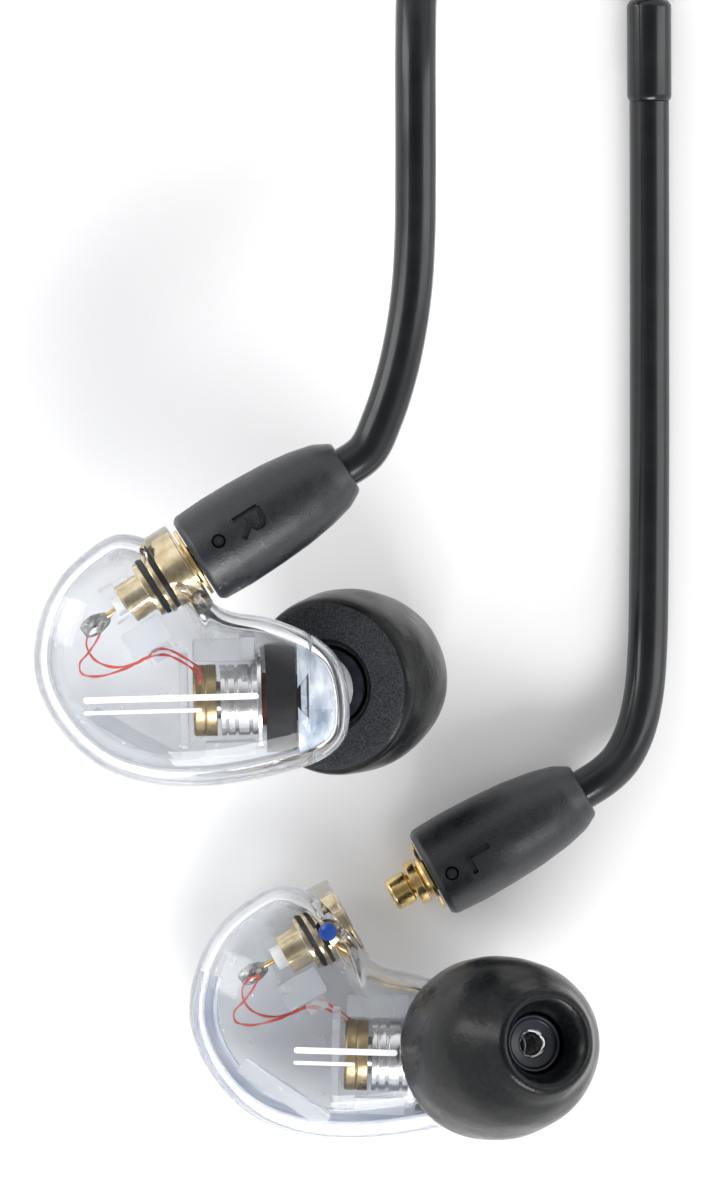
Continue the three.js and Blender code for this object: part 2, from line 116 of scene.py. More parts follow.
HOOK_ROUTES = {
    "right": [
        (3.5, 24.25, 18.95), (4.65, 26.6, 18.9), (5.6, 29.5, 18.8), (6.3, 32.7, 18.7), (6.75, 36.0, 18.55),
        (6.95, 39.5, 18.4), (7.0, 43.5, 18.25), (7.0, 48.0, 18.1), (7.0, 53.0, 17.6), (7.15, 57.5, 16.2),
        (8.0, 61.5, 13.5), (9.7, 64.7, 10.0), (11.6, 67.0, 6.6)],
    "left": [
        (20.5, 1.1, 3.55), (21.75, 2.3, 3.2), (22.75, 4.2, 2.7), (23.4, 6.8, 2.2), (23.7, 10.2, 1.75),
        (23.82, 16.6, 1.6), (23.86, 24.0, 1.6), (23.86, 32.0, 1.6), (23.86, 40.0, 1.6),
        (23.84, 49.25, 1.6)],
}
COLLARS = {
    "right": [(11.75, 67.2, 6.35), (15.6, 71.4, 2.15)],
    "left": [(23.84, 49.55, 1.6), (23.82, 56.85, 1.6)],
}
BRANCH_ROUTES = {
    "right": [
        (15.82, 71.62, 1.95), (17.2, 73.2, 1.3), (19.0, 75.7, 1.1), (20.5, 79.0, 1.2), (21.4, 82.6, 1.65),
        (21.66, 85.9, 1.95)],
    "left": [
        (23.82, 57.15, 1.5), (23.81, 62.0, 1.15), (23.81, 68.0, 1.07), (23.81, 74.0, 1.07),
        (23.81, 80.0, 1.3), (23.81, 88.7, 1.95)],
}
# How many pitches outside the innermost slot each branch starts.
BRANCH_SLOT = {"right": 2, "left": 3}


# ---------------------------------------------------------------- camera

def add_camera():
    """A long lens straight above the two earphones and the hooks' lower stretch."""
    view_centre = (2.6, 13.8)
    view_height = 85.64
    reference_height = 8.0
    distance = 1200.0
    data = bpy.data.cameras.new("camera")
    data.sensor_fit = "VERTICAL"
    data.sensor_height = 24.0
    data.lens = data.sensor_height * (distance - reference_height) / view_height
    data.clip_start = 0.05
    data.clip_end = 10.0
    camera = bpy.data.objects.new("camera", data)
    camera.location = (view_centre[0] * MM, view_centre[1] * MM, distance * MM)
    bpy.context.scene.collection.objects.link(camera)
    bpy.context.scene.camera = camera


add_camera()


# ---------------------------------------------------------------- materials

class Surface:
    """A Principled material with short helpers for its procedural detail."""

    def __init__(self, name, color, roughness, **values):
        self.material = bpy.data.materials.new(name)
        self.material.use_nodes = True
        self.nodes = self.material.node_tree.nodes
        self.links = self.material.node_tree.links
        self.shader = self.nodes["Principled BSDF"]
        self.shader.inputs["Base Color"].default_value = (*color, 1)
        self.shader.inputs["Roughness"].default_value = roughness
        for socket, value in values.items():
            self.shader.inputs[socket.replace("_", " ")].default_value = value
        self.coordinates = self.nodes.new("ShaderNodeTexCoord").outputs["Object"]

    def noise(self, per_mm, detail=4, stretch=(1, 1, 1), roughness=0.5):
        mapping = self.nodes.new("ShaderNodeMapping")
        mapping.inputs["Scale"].default_value = [per_mm / MM * s for s in stretch]
        self.links.new(self.coordinates, mapping.inputs["Vector"])
        noise = self.nodes.new("ShaderNodeTexNoise")
        noise.inputs["Scale"].default_value = 1.0
        noise.inputs["Detail"].default_value = detail
        noise.inputs["Roughness"].default_value = roughness
        self.links.new(mapping.outputs["Vector"], noise.inputs["Vector"])
        return noise.outputs["Fac"]

    def cells(self, per_mm):
        mapping = self.nodes.new("ShaderNodeMapping")
        mapping.inputs["Scale"].default_value = [per_mm / MM] * 3
        self.links.new(self.coordinates, mapping.inputs["Vector"])
        voronoi = self.nodes.new("ShaderNodeTexVoronoi")
        voronoi.inputs["Scale"].default_value = 1.0
        self.links.new(mapping.outputs["Vector"], voronoi.inputs["Vector"])
        return voronoi.outputs["Distance"]

    def between(self, factor, low, high, start=0.3, end=0.7):
        ramp = self.nodes.new("ShaderNodeMapRange")
        ramp.inputs["From Min"].default_value = start
        ramp.inputs["From Max"].default_value = end
        ramp.inputs["To Min"].default_value = low
        ramp.inputs["To Max"].default_value = high
        self.links.new(factor, ramp.inputs["Value"])
        return ramp.outputs["Result"]

    def vary_color(self, factor, dark, light, start=0.3, end=0.7):
        ramp = self.nodes.new("ShaderNodeValToRGB")
        ramp.color_ramp.elements[0].position = start
        ramp.color_ramp.elements[0].color = (*dark, 1)
        ramp.color_ramp.elements[1].position = end
        ramp.color_ramp.elements[1].color = (*light, 1)
        self.links.new(factor, ramp.inputs["Fac"])
        self.links.new(ramp.outputs["Color"], self.shader.inputs["Base Color"])
        return self

    def vary_roughness(self, factor, low, high):
        self.links.new(self.between(factor, low, high), self.shader.inputs["Roughness"])
        return self

    def bump(self, factor, height_mm, strength=1.0):
        bump = self.nodes.new("ShaderNodeBump")
        bump.inputs["Strength"].default_value = strength
        bump.inputs["Distance"].default_value = height_mm * MM
        self.links.new(factor, bump.inputs["Height"])
        previous = self.shader.inputs["Normal"]
        if previous.is_linked:
            self.links.new(previous.links[0].from_socket, bump.inputs["Normal"])
        self.links.new(bump.outputs["Normal"], previous)
        return self

    def pass_lamps(self, tint):
        """Lets the lamps' light through to what lies behind the plastic, tinted at each face."""
        rays = self.nodes.new("ShaderNodeLightPath")
        opening = self.nodes.new("ShaderNodeBsdfTransparent")
        opening.inputs["Color"].default_value = (*tint, 1)
        mix = self.nodes.new("ShaderNodeMixShader")
        self.links.new(rays.outputs["Is Shadow Ray"], mix.inputs["Fac"])
        self.links.new(self.shader.outputs["BSDF"], mix.inputs[1])
        self.links.new(opening.outputs["BSDF"], mix.inputs[2])
        self.links.new(mix.outputs["Shader"], self.nodes["Material Output"].inputs["Surface"])
        return self


def clear_plastic():
    """Polished polycarbonate, faintly blue, with moulding waviness and hairline haze."""
    s = Surface("clear_plastic", (0.94, 0.95, 0.965), 0.03, Transmission_Weight=0.997, IOR=1.37)
    s.vary_roughness(s.noise(0.6, 3), 0.01, 0.05)
    s.pass_lamps((0.7, 0.705, 0.715))
    return s.bump(s.noise(0.22, 2), 0.06, 0.35).material


def frosted_plastic():
    """The shell half whose inner face was left unpolished, so that it glows a soft grey-white."""
    s = Surface("frosted_plastic", (0.9, 0.91, 0.925), 0.22, Transmission_Weight=0.62, IOR=1.33)
    s.vary_color(s.noise(0.16, 4, (1, 1.6, 1)), (0.8, 0.82, 0.845), (0.955, 0.96, 0.97), 0.34, 0.62)
    s.vary_roughness(s.noise(0.6, 3), 0.14, 0.3)
    s.pass_lamps((0.55, 0.555, 0.565))
    return s.bump(s.noise(0.22, 2), 0.08, 0.4).material


def milky_painted_streaks():
    """The clouded inner moulding, with dark and light streaks painted in as the dark foam's reflection seen
    through it.
    """
    s = Surface("milky_painted_streaks", (0.7, 0.76, 0.84), 0.24, Transmission_Weight=0.2, IOR=1.4)
    # Painted reflection: the streaks stand in for the foam refracted through the polished moulding; the
    # cloudiness is the moulding's own.
    s.vary_color(s.noise(0.5, 5, (1.6, 0.6, 1)), (0.24, 0.31, 0.41), (0.86, 0.91, 0.97), 0.36, 0.62)
    s.vary_roughness(s.noise(0.5, 3), 0.12, 0.35)
    return s.bump(s.noise(0.35, 3), 0.12, 0.6).material


def inner_clear():
    """The unpolished clear ribs inside, whose edges catch the light."""
    s = Surface("inner_clear", (0.9, 0.915, 0.935), 0.08, Transmission_Weight=0.8, IOR=1.35)
    s.vary_roughness(s.noise(0.8, 3), 0.05, 0.14)
    s.pass_lamps((0.55, 0.555, 0.565))
    return s.bump(s.noise(0.5, 2), 0.04, 0.4).material


def rim_painted_shade():
    """Painted shade: a blue-grey tone on the ledge inside the seam, standing in for the shade that the
    seam's wall refracts.
    """
    s = Surface("rim_painted_shade", (0.72, 0.78, 0.88), 0.3, Transmission_Weight=0.45, IOR=1.4)
    s.vary_color(s.noise(0.4, 3), (0.62, 0.69, 0.82), (0.84, 0.88, 0.94))
    return s.bump(s.noise(0.5, 3), 0.05, 0.4).material


def gold_plate():
    s = Surface("gold_plate", (0.86, 0.62, 0.26), 0.2, Metallic=1.0)
    s.vary_color(s.noise(0.8, 4), (0.74, 0.5, 0.19), (0.93, 0.72, 0.36))
    s.vary_roughness(s.noise(3.0, 3), 0.13, 0.28)
    return s.bump(s.noise(9.0, 2), 0.004, 0.4).material


def pale_gold():
    """Thin bright gilding over nickel, as on the socket."""
    s = Surface("pale_gold", (0.78, 0.65, 0.42), 0.16, Metallic=1.0)
    s.vary_color(s.noise(0.8, 4), (0.6, 0.46, 0.25), (0.9, 0.79, 0.56))
    s.vary_roughness(s.noise(3.0, 3), 0.1, 0.22)
    return s.bump(s.noise(9.0, 2), 0.003, 0.4).material


def dull_brass():
    s = Surface("dull_brass", (0.36, 0.27, 0.14), 0.33, Metallic=1.0)
    s.vary_color(s.noise(0.7, 5), (0.26, 0.19, 0.1), (0.45, 0.35, 0.2))
    s.vary_roughness(s.noise(2.5, 3), 0.25, 0.45)
    return s.bump(s.noise(6.0, 3), 0.006, 0.5).material


def nickel_steel(name="nickel_steel", tone=1.0):
    s = Surface(name, (0.82 * tone,) * 3, 0.2, Metallic=1.0)
    s.vary_color(s.noise(0.4, 3), (0.7 * tone, 0.69 * tone, 0.67 * tone), (0.9 * tone,) * 3)
    s.vary_roughness(s.noise(2.0, 3), 0.14, 0.26)
    return s.bump(s.noise(6.0, 2), 0.002, 0.3).material


def copper_wire():
    s = Surface("copper_winding", (0.5, 0.2, 0.09), 0.35, Metallic=0.9)
    s.vary_color(s.noise(1.5, 3), (0.4, 0.15, 0.07), (0.62, 0.28, 0.13))
    return s.bump(s.noise(10.0, 2, (6, 1, 1)), 0.02, 0.6).material


def white_ptfe():
    s = Surface("white_ptfe", (0.9, 0.89, 0.86), 0.4, Subsurface_Weight=0.15, Subsurface_Scale=0.0008)
    s.vary_color(s.noise(1.2, 3), (0.82, 0.81, 0.78), (0.95, 0.94, 0.92))
    return s.bump(s.noise(4.0, 3), 0.01, 0.4).material


def tin_solder():
    s = Surface("tin_solder", (0.4, 0.4, 0.39), 0.3, Metallic=1.0)
    s.vary_color(s.noise(1.4, 5), (0.14, 0.14, 0.135), (0.62, 0.62, 0.6))
    s.vary_roughness(s.noise(2.0, 4), 0.18, 0.5)
    return s.bump(s.noise(1.8, 4), 0.15, 0.6).material


def red_enamel():
    s = Surface("red_enamel", (0.6, 0.03, 0.02), 0.25, Coat_Weight=0.4)
    s.vary_color(s.noise(0.6, 3), (0.42, 0.015, 0.012), (0.75, 0.09, 0.05))
    return s.material


def boot_plastic():
    """Moulded black plastic with a fine spark-eroded grain."""
    s = Surface("boot_plastic", (0.009, 0.011, 0.0135), 0.33, Specular_IOR_Level=0.65)
    s.vary_color(s.noise(5.0, 5), (0.005, 0.0065, 0.008), (0.014, 0.017, 0.0205))
    s.vary_roughness(s.noise(1.2, 4), 0.24, 0.38)
    s.bump(s.noise(7.0, 4, roughness=0.65), 0.05, 0.55)
    return s.bump(s.noise(0.35, 2), 0.12, 0.3).material


def hook_rubber():
    """Satin sheathing of the formable hook, with faint drawn lines along it."""
    s = Surface("hook_rubber", (0.006, 0.007, 0.008), 0.28, Specular_IOR_Level=0.42)
    s.vary_color(s.noise(0.5, 4), (0.004, 0.005, 0.006), (0.009, 0.0105, 0.012))
    s.vary_roughness(s.noise(0.8, 3, (1, 0.15, 1)), 0.15, 0.27)
    return s.bump(s.noise(1.2, 3, (1, 0.08, 1)), 0.03, 0.35).material


def cable_rubber():
    s = Surface("cable_rubber", (0.007, 0.008, 0.009), 0.36, Specular_IOR_Level=0.38)
    s.vary_color(s.noise(0.7, 4), (0.005, 0.006, 0.007), (0.011, 0.012, 0.014))
    s.vary_roughness(s.noise(1.5, 3), 0.26, 0.42)
    return s.bump(s.noise(2.5, 3), 0.02, 0.4).material


def foam_skin():
    """The moulded skin of slow-recovery foam: smooth, softly dimpled, with fine open pores."""
    s = Surface("foam_skin", (0.004, 0.0045, 0.005), 0.28, Specular_IOR_Level=0.24)
    s.vary_color(s.noise(3.0, 5), (0.003, 0.0032, 0.0035), (0.008, 0.009, 0.01))
    s.vary_roughness(s.noise(0.7, 4), 0.2, 0.31)
    s.bump(s.noise(4.0, 4, roughness=0.6), 0.035, 0.5)
    return s.bump(s.noise(0.3, 3), 0.25, 0.4).material


def foam_cut():
    """The bare cut face of the foam, speckled with open cells."""
    s = Surface("foam_cut", (0.03, 0.032, 0.035), 0.85, Specular_IOR_Level=0.3, Sheen_Weight=0.1)
    s.vary_color(s.noise(7.5, 6, roughness=0.75), (0.004, 0.005, 0.006), (0.06, 0.066, 0.077), 0.4, 0.64)
    return s.bump(s.cells(10.0), 0.08, 0.7).material


def core_plastic():
    s = Surface("core_plastic", (0.012, 0.014, 0.022), 0.2, Specular_IOR_Level=0.3)
    s.vary_color(s.noise(0.9, 3), (0.008, 0.009, 0.014), (0.02, 0.023, 0.034))
    return s.bump(s.noise(2.0, 2), 0.01, 0.3).material


def black_seal():
    s = Surface("black_seal", (0.005, 0.005, 0.006), 0.55, Specular_IOR_Level=0.2)
    s.vary_color(s.noise(2.0, 4), (0.003, 0.003, 0.0035), (0.008, 0.008, 0.009))
    return s.bump(s.noise(3.0, 4), 0.05, 0.5).material


def thin_film():
    s = Surface("thin_film", (0.85, 0.82, 0.72), 0.2, Transmission_Weight=0.5)
    s.vary_color(s.noise(0.9, 3), (0.76, 0.72, 0.6), (0.9, 0.88, 0.8))
    return s.bump(s.noise(0.8, 3), 0.03, 0.4).material


def white_ink():
    s = Surface("white_ink", (0.93, 0.93, 0.93), 0.45)
    s.vary_color(s.noise(3.0, 4), (0.88, 0.88, 0.88), (0.96, 0.96, 0.96))
    return s.bump(s.noise(5.0, 3), 0.006, 0.4).material


def damper_mesh():
    s = Surface("damper_mesh", (0.5, 0.42, 0.26), 0.4, Metallic=0.8)
    s.vary_color(s.cells(6.0), (0.1, 0.08, 0.05), (0.66, 0.56, 0.36), 0.1, 0.5)
    return s.bump(s.cells(6.0), 0.06, 0.8).material


def enamel_dot(name, dark, light):
    s = Surface(name, light, 0.18, Coat_Weight=0.6)
    s.vary_color(s.noise(1.5, 3), dark, light)
    return s.material


def woven_strap():
    """Black hook-and-loop webbing: a fine weave under short fuzz."""
    s = Surface("woven_strap", (0.01, 0.01, 0.011), 0.8, Specular_IOR_Level=0.3, Sheen_Weight=0.08)
    weave = s.nodes.new("ShaderNodeTexWave")
    weave.inputs["Scale"].default_value = 900.0
    weave.inputs["Distortion"].default_value = 1.5
    s.links.new(s.coordinates, weave.inputs["Vector"])
    s.vary_color(weave.outputs["Fac"], (0.005, 0.005, 0.006), (0.02, 0.02, 0.022))
    s.bump(weave.outputs["Fac"], 0.12, 0.6)
    return s.bump(s.noise(6.0, 4), 0.1, 0.6).material


MATERIALS = {
    "clear": clear_plastic(), "inner_clear": inner_clear(), "frosted": frosted_plastic(),
    "milky": milky_painted_streaks(), "painted_rim_shade": rim_painted_shade(), "gold": gold_plate(), "pale_gold": pale_gold(),
    "brass": dull_brass(), "steel": nickel_steel(), "magnet": nickel_steel("ground_magnet", 0.5),
    "copper": copper_wire(), "ptfe": white_ptfe(), "solder": tin_solder(), "red_wire": red_enamel(),
    "boot": boot_plastic(), "hook": hook_rubber(), "cable": cable_rubber(), "foam": foam_skin(),
    "foam_cut": foam_cut(), "core": core_plastic(), "seal": black_seal(), "film": thin_film(),
    "mesh": damper_mesh(), "blue_dot": enamel_dot("blue_dot", (0.005, 0.035, 0.22), (0.01, 0.07, 0.36)),
    "red_dot": enamel_dot("red_dot", (0.3, 0.01, 0.02), (0.5, 0.02, 0.035)), "strap": woven_strap(),
    "ink": white_ink(),
}


# ---------------------------------------------------------------- placing pieces

def axis_matrix(origin, direction):
    """A placement whose local +Y runs along a direction."""
    turn = Vector((0, 1, 0)).rotation_difference(Vector(direction).normalized())
    return Matrix.Translation(origin) @ turn.to_matrix().to_4x4()


def swivel_of(side):
    """The socket's end face centre in millimetres, and the unit direction of its cable."""
    joint = JOINTS[f"{side}_swivel"]
    return Vector(joint["pos_m"]) / MM, Vector(joint["axis"]).normalized()


def earphone_matrix(side):
    """From the earphone's own millimetres to the frame's metres. The left one is a mirror image."""
    neck, outward = swivel_of(side)
    turn = math.atan2(outward.y, outward.x) - math.radians(SOCKET_ANGLE)
    flip = -1 if side == "left" else 1
    return (Matrix.Scale(MM, 4) @ Matrix.Translation(neck) @ Matrix.Rotation(turn, 4, "Z")
            @ Matrix.Diagonal((1, 1, flip, 1)) @ Matrix.Translation(-SOCKET_FACE))


def boot_face(side):
    """The centre of the boot's front face, in millimetres."""
    neck, outward = swivel_of(side)
    pulled = JOINTS["left_plug_in"]["range_m"][1] / MM if side == "left" else 0
    return neck + outward * (PLUGGED_GAP + pulled)


def connector_matrix(side):
    """From the boot's own millimetres (y along the cable, z up) to the frame's metres."""
    _, outward = swivel_of(side)
    turn = math.atan2(outward.y, outward.x) - math.pi / 2
    return Matrix.Scale(MM, 4) @ Matrix.Translation(boot_face(side)) @ Matrix.Rotation(turn, 4, "Z")


WORLD = Matrix.Scale(MM, 4)
socket_direction = Vector((math.cos(math.radians(SOCKET_ANGLE)), math.sin(math.radians(SOCKET_ANGLE)), 0))
IN_SOCKET = axis_matrix(SOCKET_FACE, socket_direction)
IN_NOZZLE = axis_matrix(TIP_BACK, TIP_DIRECTION)
IN_DRIVER = axis_matrix(DRIVER_CENTRE, (1, 0, 0))


def add_piece(name, shape, matrix, material, body, replaces=(), sharp=32):
    """Makes a mesh object from (vertices, faces), placed, smoothed and riding on a body."""
    vertices, faces = shape
    mesh = bpy.data.meshes.new(name)
    mesh.from_pydata([matrix @ Vector(v) for v in vertices], [], faces)
    if matrix.determinant() < 0:
        mesh.flip_normals()
    return finish_piece(name, mesh, material, body, replaces, sharp)


def attach(piece, body, replaces):
    """Puts a piece in the scene, on its body and the CAD nodes that it stands for."""
    bpy.context.scene.collection.objects.link(piece)
    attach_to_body(piece, body)
    if replaces:
        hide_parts(*replaces)
    return piece


def finish_piece(name, mesh, material, body, replaces=(), sharp=32):
    """Smooths a placed mesh, gives it its only material and attaches it."""
    mesh.validate()
    mesh.shade_smooth()
    mesh.set_sharp_from_angle(angle=math.radians(sharp))
    mesh.materials.clear()
    mesh.materials.append(MATERIALS[material])
    return attach(bpy.data.objects.new(name, mesh), body, replaces)


# ---------------------------------------------------------------- shapes

def rounded(profile, radius, steps=3):
    """Rounds the inner corners of a [radius, height] profile, so that edges catch the light."""
    points = [Vector(p) for p in profile]
    out = [points[0]]
    for before, corner, after in zip(points, points[1:], points[2:]):
        back, ahead = before - corner, after - corner
        reach = min(radius, 0.4 * back.length, 0.4 * ahead.length)
        start, end = corner + back.normalized() * reach, corner + ahead.normalized() * reach
        for i in range(steps + 1):
            t = i / steps
            out.append((1 - t) ** 2 * start + 2 * t * (1 - t) * corner + t * t * end)
    out.append(points[-1])
    return out


def turned(profile, segments=64):
    """A body of revolution about +Y. A profile starts and ends on the axis, or closes on itself."""
    closed = (Vector(profile[0]) - Vector(profile[-1])).length < 1e-9
    rows = list(profile[:-1]) if closed else list(profile)
    vertices, rings = [], []
    for radius, height in rows:
        count = 1 if radius < 1e-9 else segments
        rings.append([len(vertices) + i for i in range(count)])
        for i in range(count):
            angle = 2 * math.pi * i / segments
            vertices.append((radius * math.sin(angle), height, radius * math.cos(angle)))
    faces = []
    pairs = list(zip(rings, rings[1:] + ([rings[0]] if closed else [])))
    for low, high in pairs:
        for i in range(segments):
            a, b = low[i % len(low)], low[(i + 1) % len(low)]
            c, d = high[(i + 1) % len(high)], high[i % len(high)]
            face = [a, b, c, d]
            face = [v for k, v in enumerate(face) if v not in face[:k]]
            if len(face) > 2:
                faces.append(face)
    return vertices, faces


def rod(radius, low, high):
    return [(0, low), (radius, low), (radius, high), (0, high)]


def pipe(outer, inner, low, high):
    """A tube's closed profile. It starts in the middle of the outer wall, so all corners round."""
    middle = (low + high) / 2
    return [(outer, middle), (outer, high), (inner, high), (inner, low), (outer, low), (outer, middle)]


def smooth_path(points, per_span=8, closed=False):
    """Centripetal Catmull-Rom points through the given ones."""
    known = [Vector(p) for p in points]
    count = len(known)
    if closed:
        around = [known[-1], *known, known[0], known[1]]
    else:
        around = [2 * known[0] - known[1], *known, 2 * known[-1] - known[-2]]
    path = []
    for i in range(count if closed else count - 1):
        p0, p1, p2, p3 = around[i:i + 4]
        t0 = 0.0
        t1 = t0 + max((p1 - p0).length, 1e-9) ** 0.5
        t2 = t1 + max((p2 - p1).length, 1e-9) ** 0.5
        t3 = t2 + max((p3 - p2).length, 1e-9) ** 0.5
        for k in range(per_span):
            t = t1 + (t2 - t1) * k / per_span
            a1 = p0 * ((t1 - t) / (t1 - t0)) + p1 * ((t - t0) / (t1 - t0))
            a2 = p1 * ((t2 - t) / (t2 - t1)) + p2 * ((t - t1) / (t2 - t1))
            a3 = p2 * ((t3 - t) / (t3 - t2)) + p3 * ((t - t2) / (t3 - t2))
            b1 = a1 * ((t2 - t) / (t2 - t0)) + a2 * ((t - t0) / (t2 - t0))
            b2 = a2 * ((t3 - t) / (t3 - t1)) + a3 * ((t - t1) / (t3 - t1))
            path.append(b1 * ((t2 - t) / (t2 - t1)) + b2 * ((t - t1) / (t2 - t1)))
    if not closed:
        path.append(known[-1])
    return path


def cord_curve(name, path, diameter, material, body, replaces=()):
    """A round cord: one open spline through a dense path in millimetres."""
    data = bpy.data.curves.new(name, "CURVE")
    data.dimensions = "3D"
    data.bevel_depth = diameter / 2 * MM
    data.bevel_resolution = 5
    data.use_fill_caps = True
    spline = data.splines.new("POLY")
    spline.points.add(len(path) - 1)
    for point, at in zip(spline.points, path):
        point.co = (*(at * MM), 1)
    data.materials.append(MATERIALS[material])
    return attach(bpy.data.objects.new(name, data), body, replaces)


# ---------------------------------------------------------------- cable

def collar_profile(length):
    """A short moulded sleeve with a stepped, softly rounded end."""
    radius = COLLAR_DIAMETER / 2
    return rounded([
        (0, 0), (radius - 0.18, 0), (radius, 0.35), (radius, length - 0.35), (radius - 0.25, length),
        (0, length)], 0.15)


def add_hooks():
    for side in SIDES:
        _, outward = swivel_of(side)
        rear = boot_face(side) + outward * (BOOT_LENGTH - 1.0)
        start, end = (Vector(p) for p in COLLARS[side])
        route = [rear, *[Vector(p) for p in HOOK_ROUTES[side]], start]
        path = smooth_path(route)
        hook = cord_curve(f"{side}_hook_tube", path, HOOK_DIAMETER, "hook", "cable",
                          [f"{side}_hook"])
        along = end - start
        collar = add_piece(
            f"{side}_hook_collar", turned(collar_profile(along.length), 48),
            WORLD @ axis_matrix(start, along), "hook", "cable", [f"{side}_collar"])


def arc(centre_x, centre_y, radius, start, end, height, steps=14):
    """Points on a half turn of the hank, angles in degrees, height (low, high) along it."""
    low, high = height
    points = []
    for i in range(1, steps + 1):
        share = i / steps
        angle = math.radians(start + (end - start) * share)
        points.append(Vector((
            centre_x + radius * math.cos(angle), centre_y + radius * math.sin(angle),
            low + (high - low) * share)))
    return points


def run(x, start, end, height, steps=5):
    """Points on a straight run of the hank."""
    low, high = height
    return [
        Vector((x, start + (end - start) * i / steps, low + (high - low) * i / steps))
        for i in range(1, steps + 1)]


def branch_path(side):
    """From the collar, twice round the hank's lowest layer, and through the slider to the split."""
    level = HANK_BASE + BRANCH_DIAMETER / 2
    flat = (level, level)
    _, collar_end = (Vector(p) for p in COLLARS[side])
    points = [collar_end, *[Vector(p) for p in BRANCH_ROUTES[side]]]
    out = BRANCH_INNER + BRANCH_SLOT[side] * BRANCH_PITCH
    points += run(HANK_X + out, points[-1].y, HANK_NORTH, flat)
    for _ in range(2):
        points += arc(HANK_X, HANK_NORTH, out, 0, 180, flat)
        points += run(HANK_X - out, HANK_NORTH, HANK_SOUTH, flat)
        points += arc(HANK_X - BRANCH_PITCH, HANK_SOUTH, out - BRANCH_PITCH, 180, 360, flat)
        out -= 2 * BRANCH_PITCH
        if out > BRANCH_INNER - 1:
            points += run(HANK_X + out, HANK_SOUTH, HANK_NORTH, flat)
    pair_side = 1 if side == "left" else -1
    pair_x = PAIR_X + pair_side * PAIR_SPREAD
    middle = (points[-1].x + pair_x) / 2
    points += [
        Vector((middle, HANK_SOUTH + 4.2, level + 0.55)),
        Vector((pair_x, HANK_SOUTH + 8.2, PAIR_HEIGHT)),
        Vector((pair_x, HANK_SOUTH + 12.0, PAIR_HEIGHT)), Vector((pair_x, SPLIT_START, PAIR_HEIGHT)),
        Vector((pair_x - pair_side * 0.25, SPLIT_START + 2.0, PAIR_HEIGHT))]
    return smooth_path(points, 3)


def main_path():
    """From the split, out through one layer of the hank, back in through the next, to the plug."""
    lower = HANK_BASE + BRANCH_DIAMETER + MAIN_DIAMETER / 2
    upper = lower + MAIN_DIAMETER
    half = MAIN_PITCH / 2
    points = [
        Vector((PAIR_X, SPLIT_START + SPLIT_LENGTH - 1.5, PAIR_HEIGHT)),
        Vector((PAIR_X, SPLIT_START + SPLIT_LENGTH + 0.8, PAIR_HEIGHT + 0.1)),
        Vector((PAIR_X + 1.4, SPLIT_START + SPLIT_LENGTH + 4.4, PAIR_HEIGHT + 0.55)),
        Vector((PAIR_X + 4.4, SPLIT_START + SPLIT_LENGTH + 8.2, lower - 0.1)),
        Vector((HANK_X + MAIN_INNER, HANK_NORTH, lower))]
    out = MAIN_INNER
    for _ in range(3):
        points += arc(HANK_X, HANK_NORTH, out, 0, 180, (lower, lower))
        points += run(HANK_X - out, HANK_NORTH, HANK_SOUTH, (lower, lower))
        points += arc(HANK_X + half, HANK_SOUTH, out + half, 180, 360, (lower, lower))
        out += MAIN_PITCH
        points += run(HANK_X + out, HANK_SOUTH, HANK_NORTH, (lower, lower))
    points += arc(HANK_X, HANK_NORTH, out, 0, 180, (lower, lower))
    points += run(HANK_X - out, HANK_NORTH, HANK_SOUTH, (lower, upper))
    for turn in range(3):
        points += arc(HANK_X - half, HANK_SOUTH, out - half, 180, 360, (upper, upper))
        out -= MAIN_PITCH
        points += run(HANK_X + out, HANK_SOUTH, HANK_NORTH, (upper, upper))
        if turn < 2:
            points += arc(HANK_X, HANK_NORTH, out, 0, 180, (upper, upper))
            points += run(HANK_X - out, HANK_NORTH, HANK_SOUTH, (upper, upper))
    last_radius = 7.8
    last_centre = HANK_X + out - last_radius
    points += arc(last_centre, HANK_NORTH, last_radius, 0, 180, (upper, PLUG_HEIGHT + 0.5))
    plug_rear = PLUG_TIP + PLUG_BARREL_LENGTH + PLUG_BODY_LENGTH
    points += [
        Vector((PLUG_X - 1.4, HANK_NORTH - 4.0, PLUG_HEIGHT + 0.2)),
        Vector((PLUG_X - 0.3, plug_rear + 2.6, PLUG_HEIGHT)),
        Vector((PLUG_X, plug_rear - 1.0, PLUG_HEIGHT))]
    return smooth_path(points, 3)


def oval(profile, squash_z, segments=56):
    """A body of revolution flattened in z."""
    vertices, faces = turned(profile, segments)
    return [(x, y, z * squash_z) for x, y, z in vertices], faces


def rib_profile(first, pitch, radius, shrink, flat, rise, end):
    """Four flexible ribs along a strain relief, each thinner than the one before."""
    points = []
    for rib in range(4):
        start = first + rib * pitch
        outer = radius - rib * shrink
        root = outer - RIB_DEPTH
        points += [(root, start), (root, start + flat), (outer, start + rise), (outer - 0.05, start + end)]
    return points


def add_split():
    """The Y-split: two cords in at its wide end, the main cable out through a ribbed tail."""
    profile = [(0, 0), (2.5, 0), (2.95, 0.5), (3.0, 5), (2.65, 8.6)]
    profile += rib_profile(9.4, 1.5, 2.45, 0.2, 0.4, 0.7, 1.3)
    profile += [(1.75, SPLIT_LENGTH - 0.2), (1.5, SPLIT_LENGTH), (0, SPLIT_LENGTH)]
    place = WORLD @ Matrix.Translation((PAIR_X, SPLIT_START, PAIR_HEIGHT))
    return add_piece("y_split_moulding", oval(rounded(profile, 0.18), 0.68), place, "boot", "cable",
                     ["y_split"])


def capsule_loop(half_width, half_height, radius, steps=8):
    """A rounded rectangle in x and z, counter-clockwise."""
    loop = []
    for corner, (sx, sz) in enumerate(((1, 1), (-1, 1), (-1, -1), (1, -1))):
        for i in range(steps + 1):
            angle = math.pi / 2 * (corner + i / steps)
            loop.append((sx * (half_width - radius) + radius * math.cos(angle),
                         sz * (half_height - radius) + radius * math.sin(angle)))
    return loop


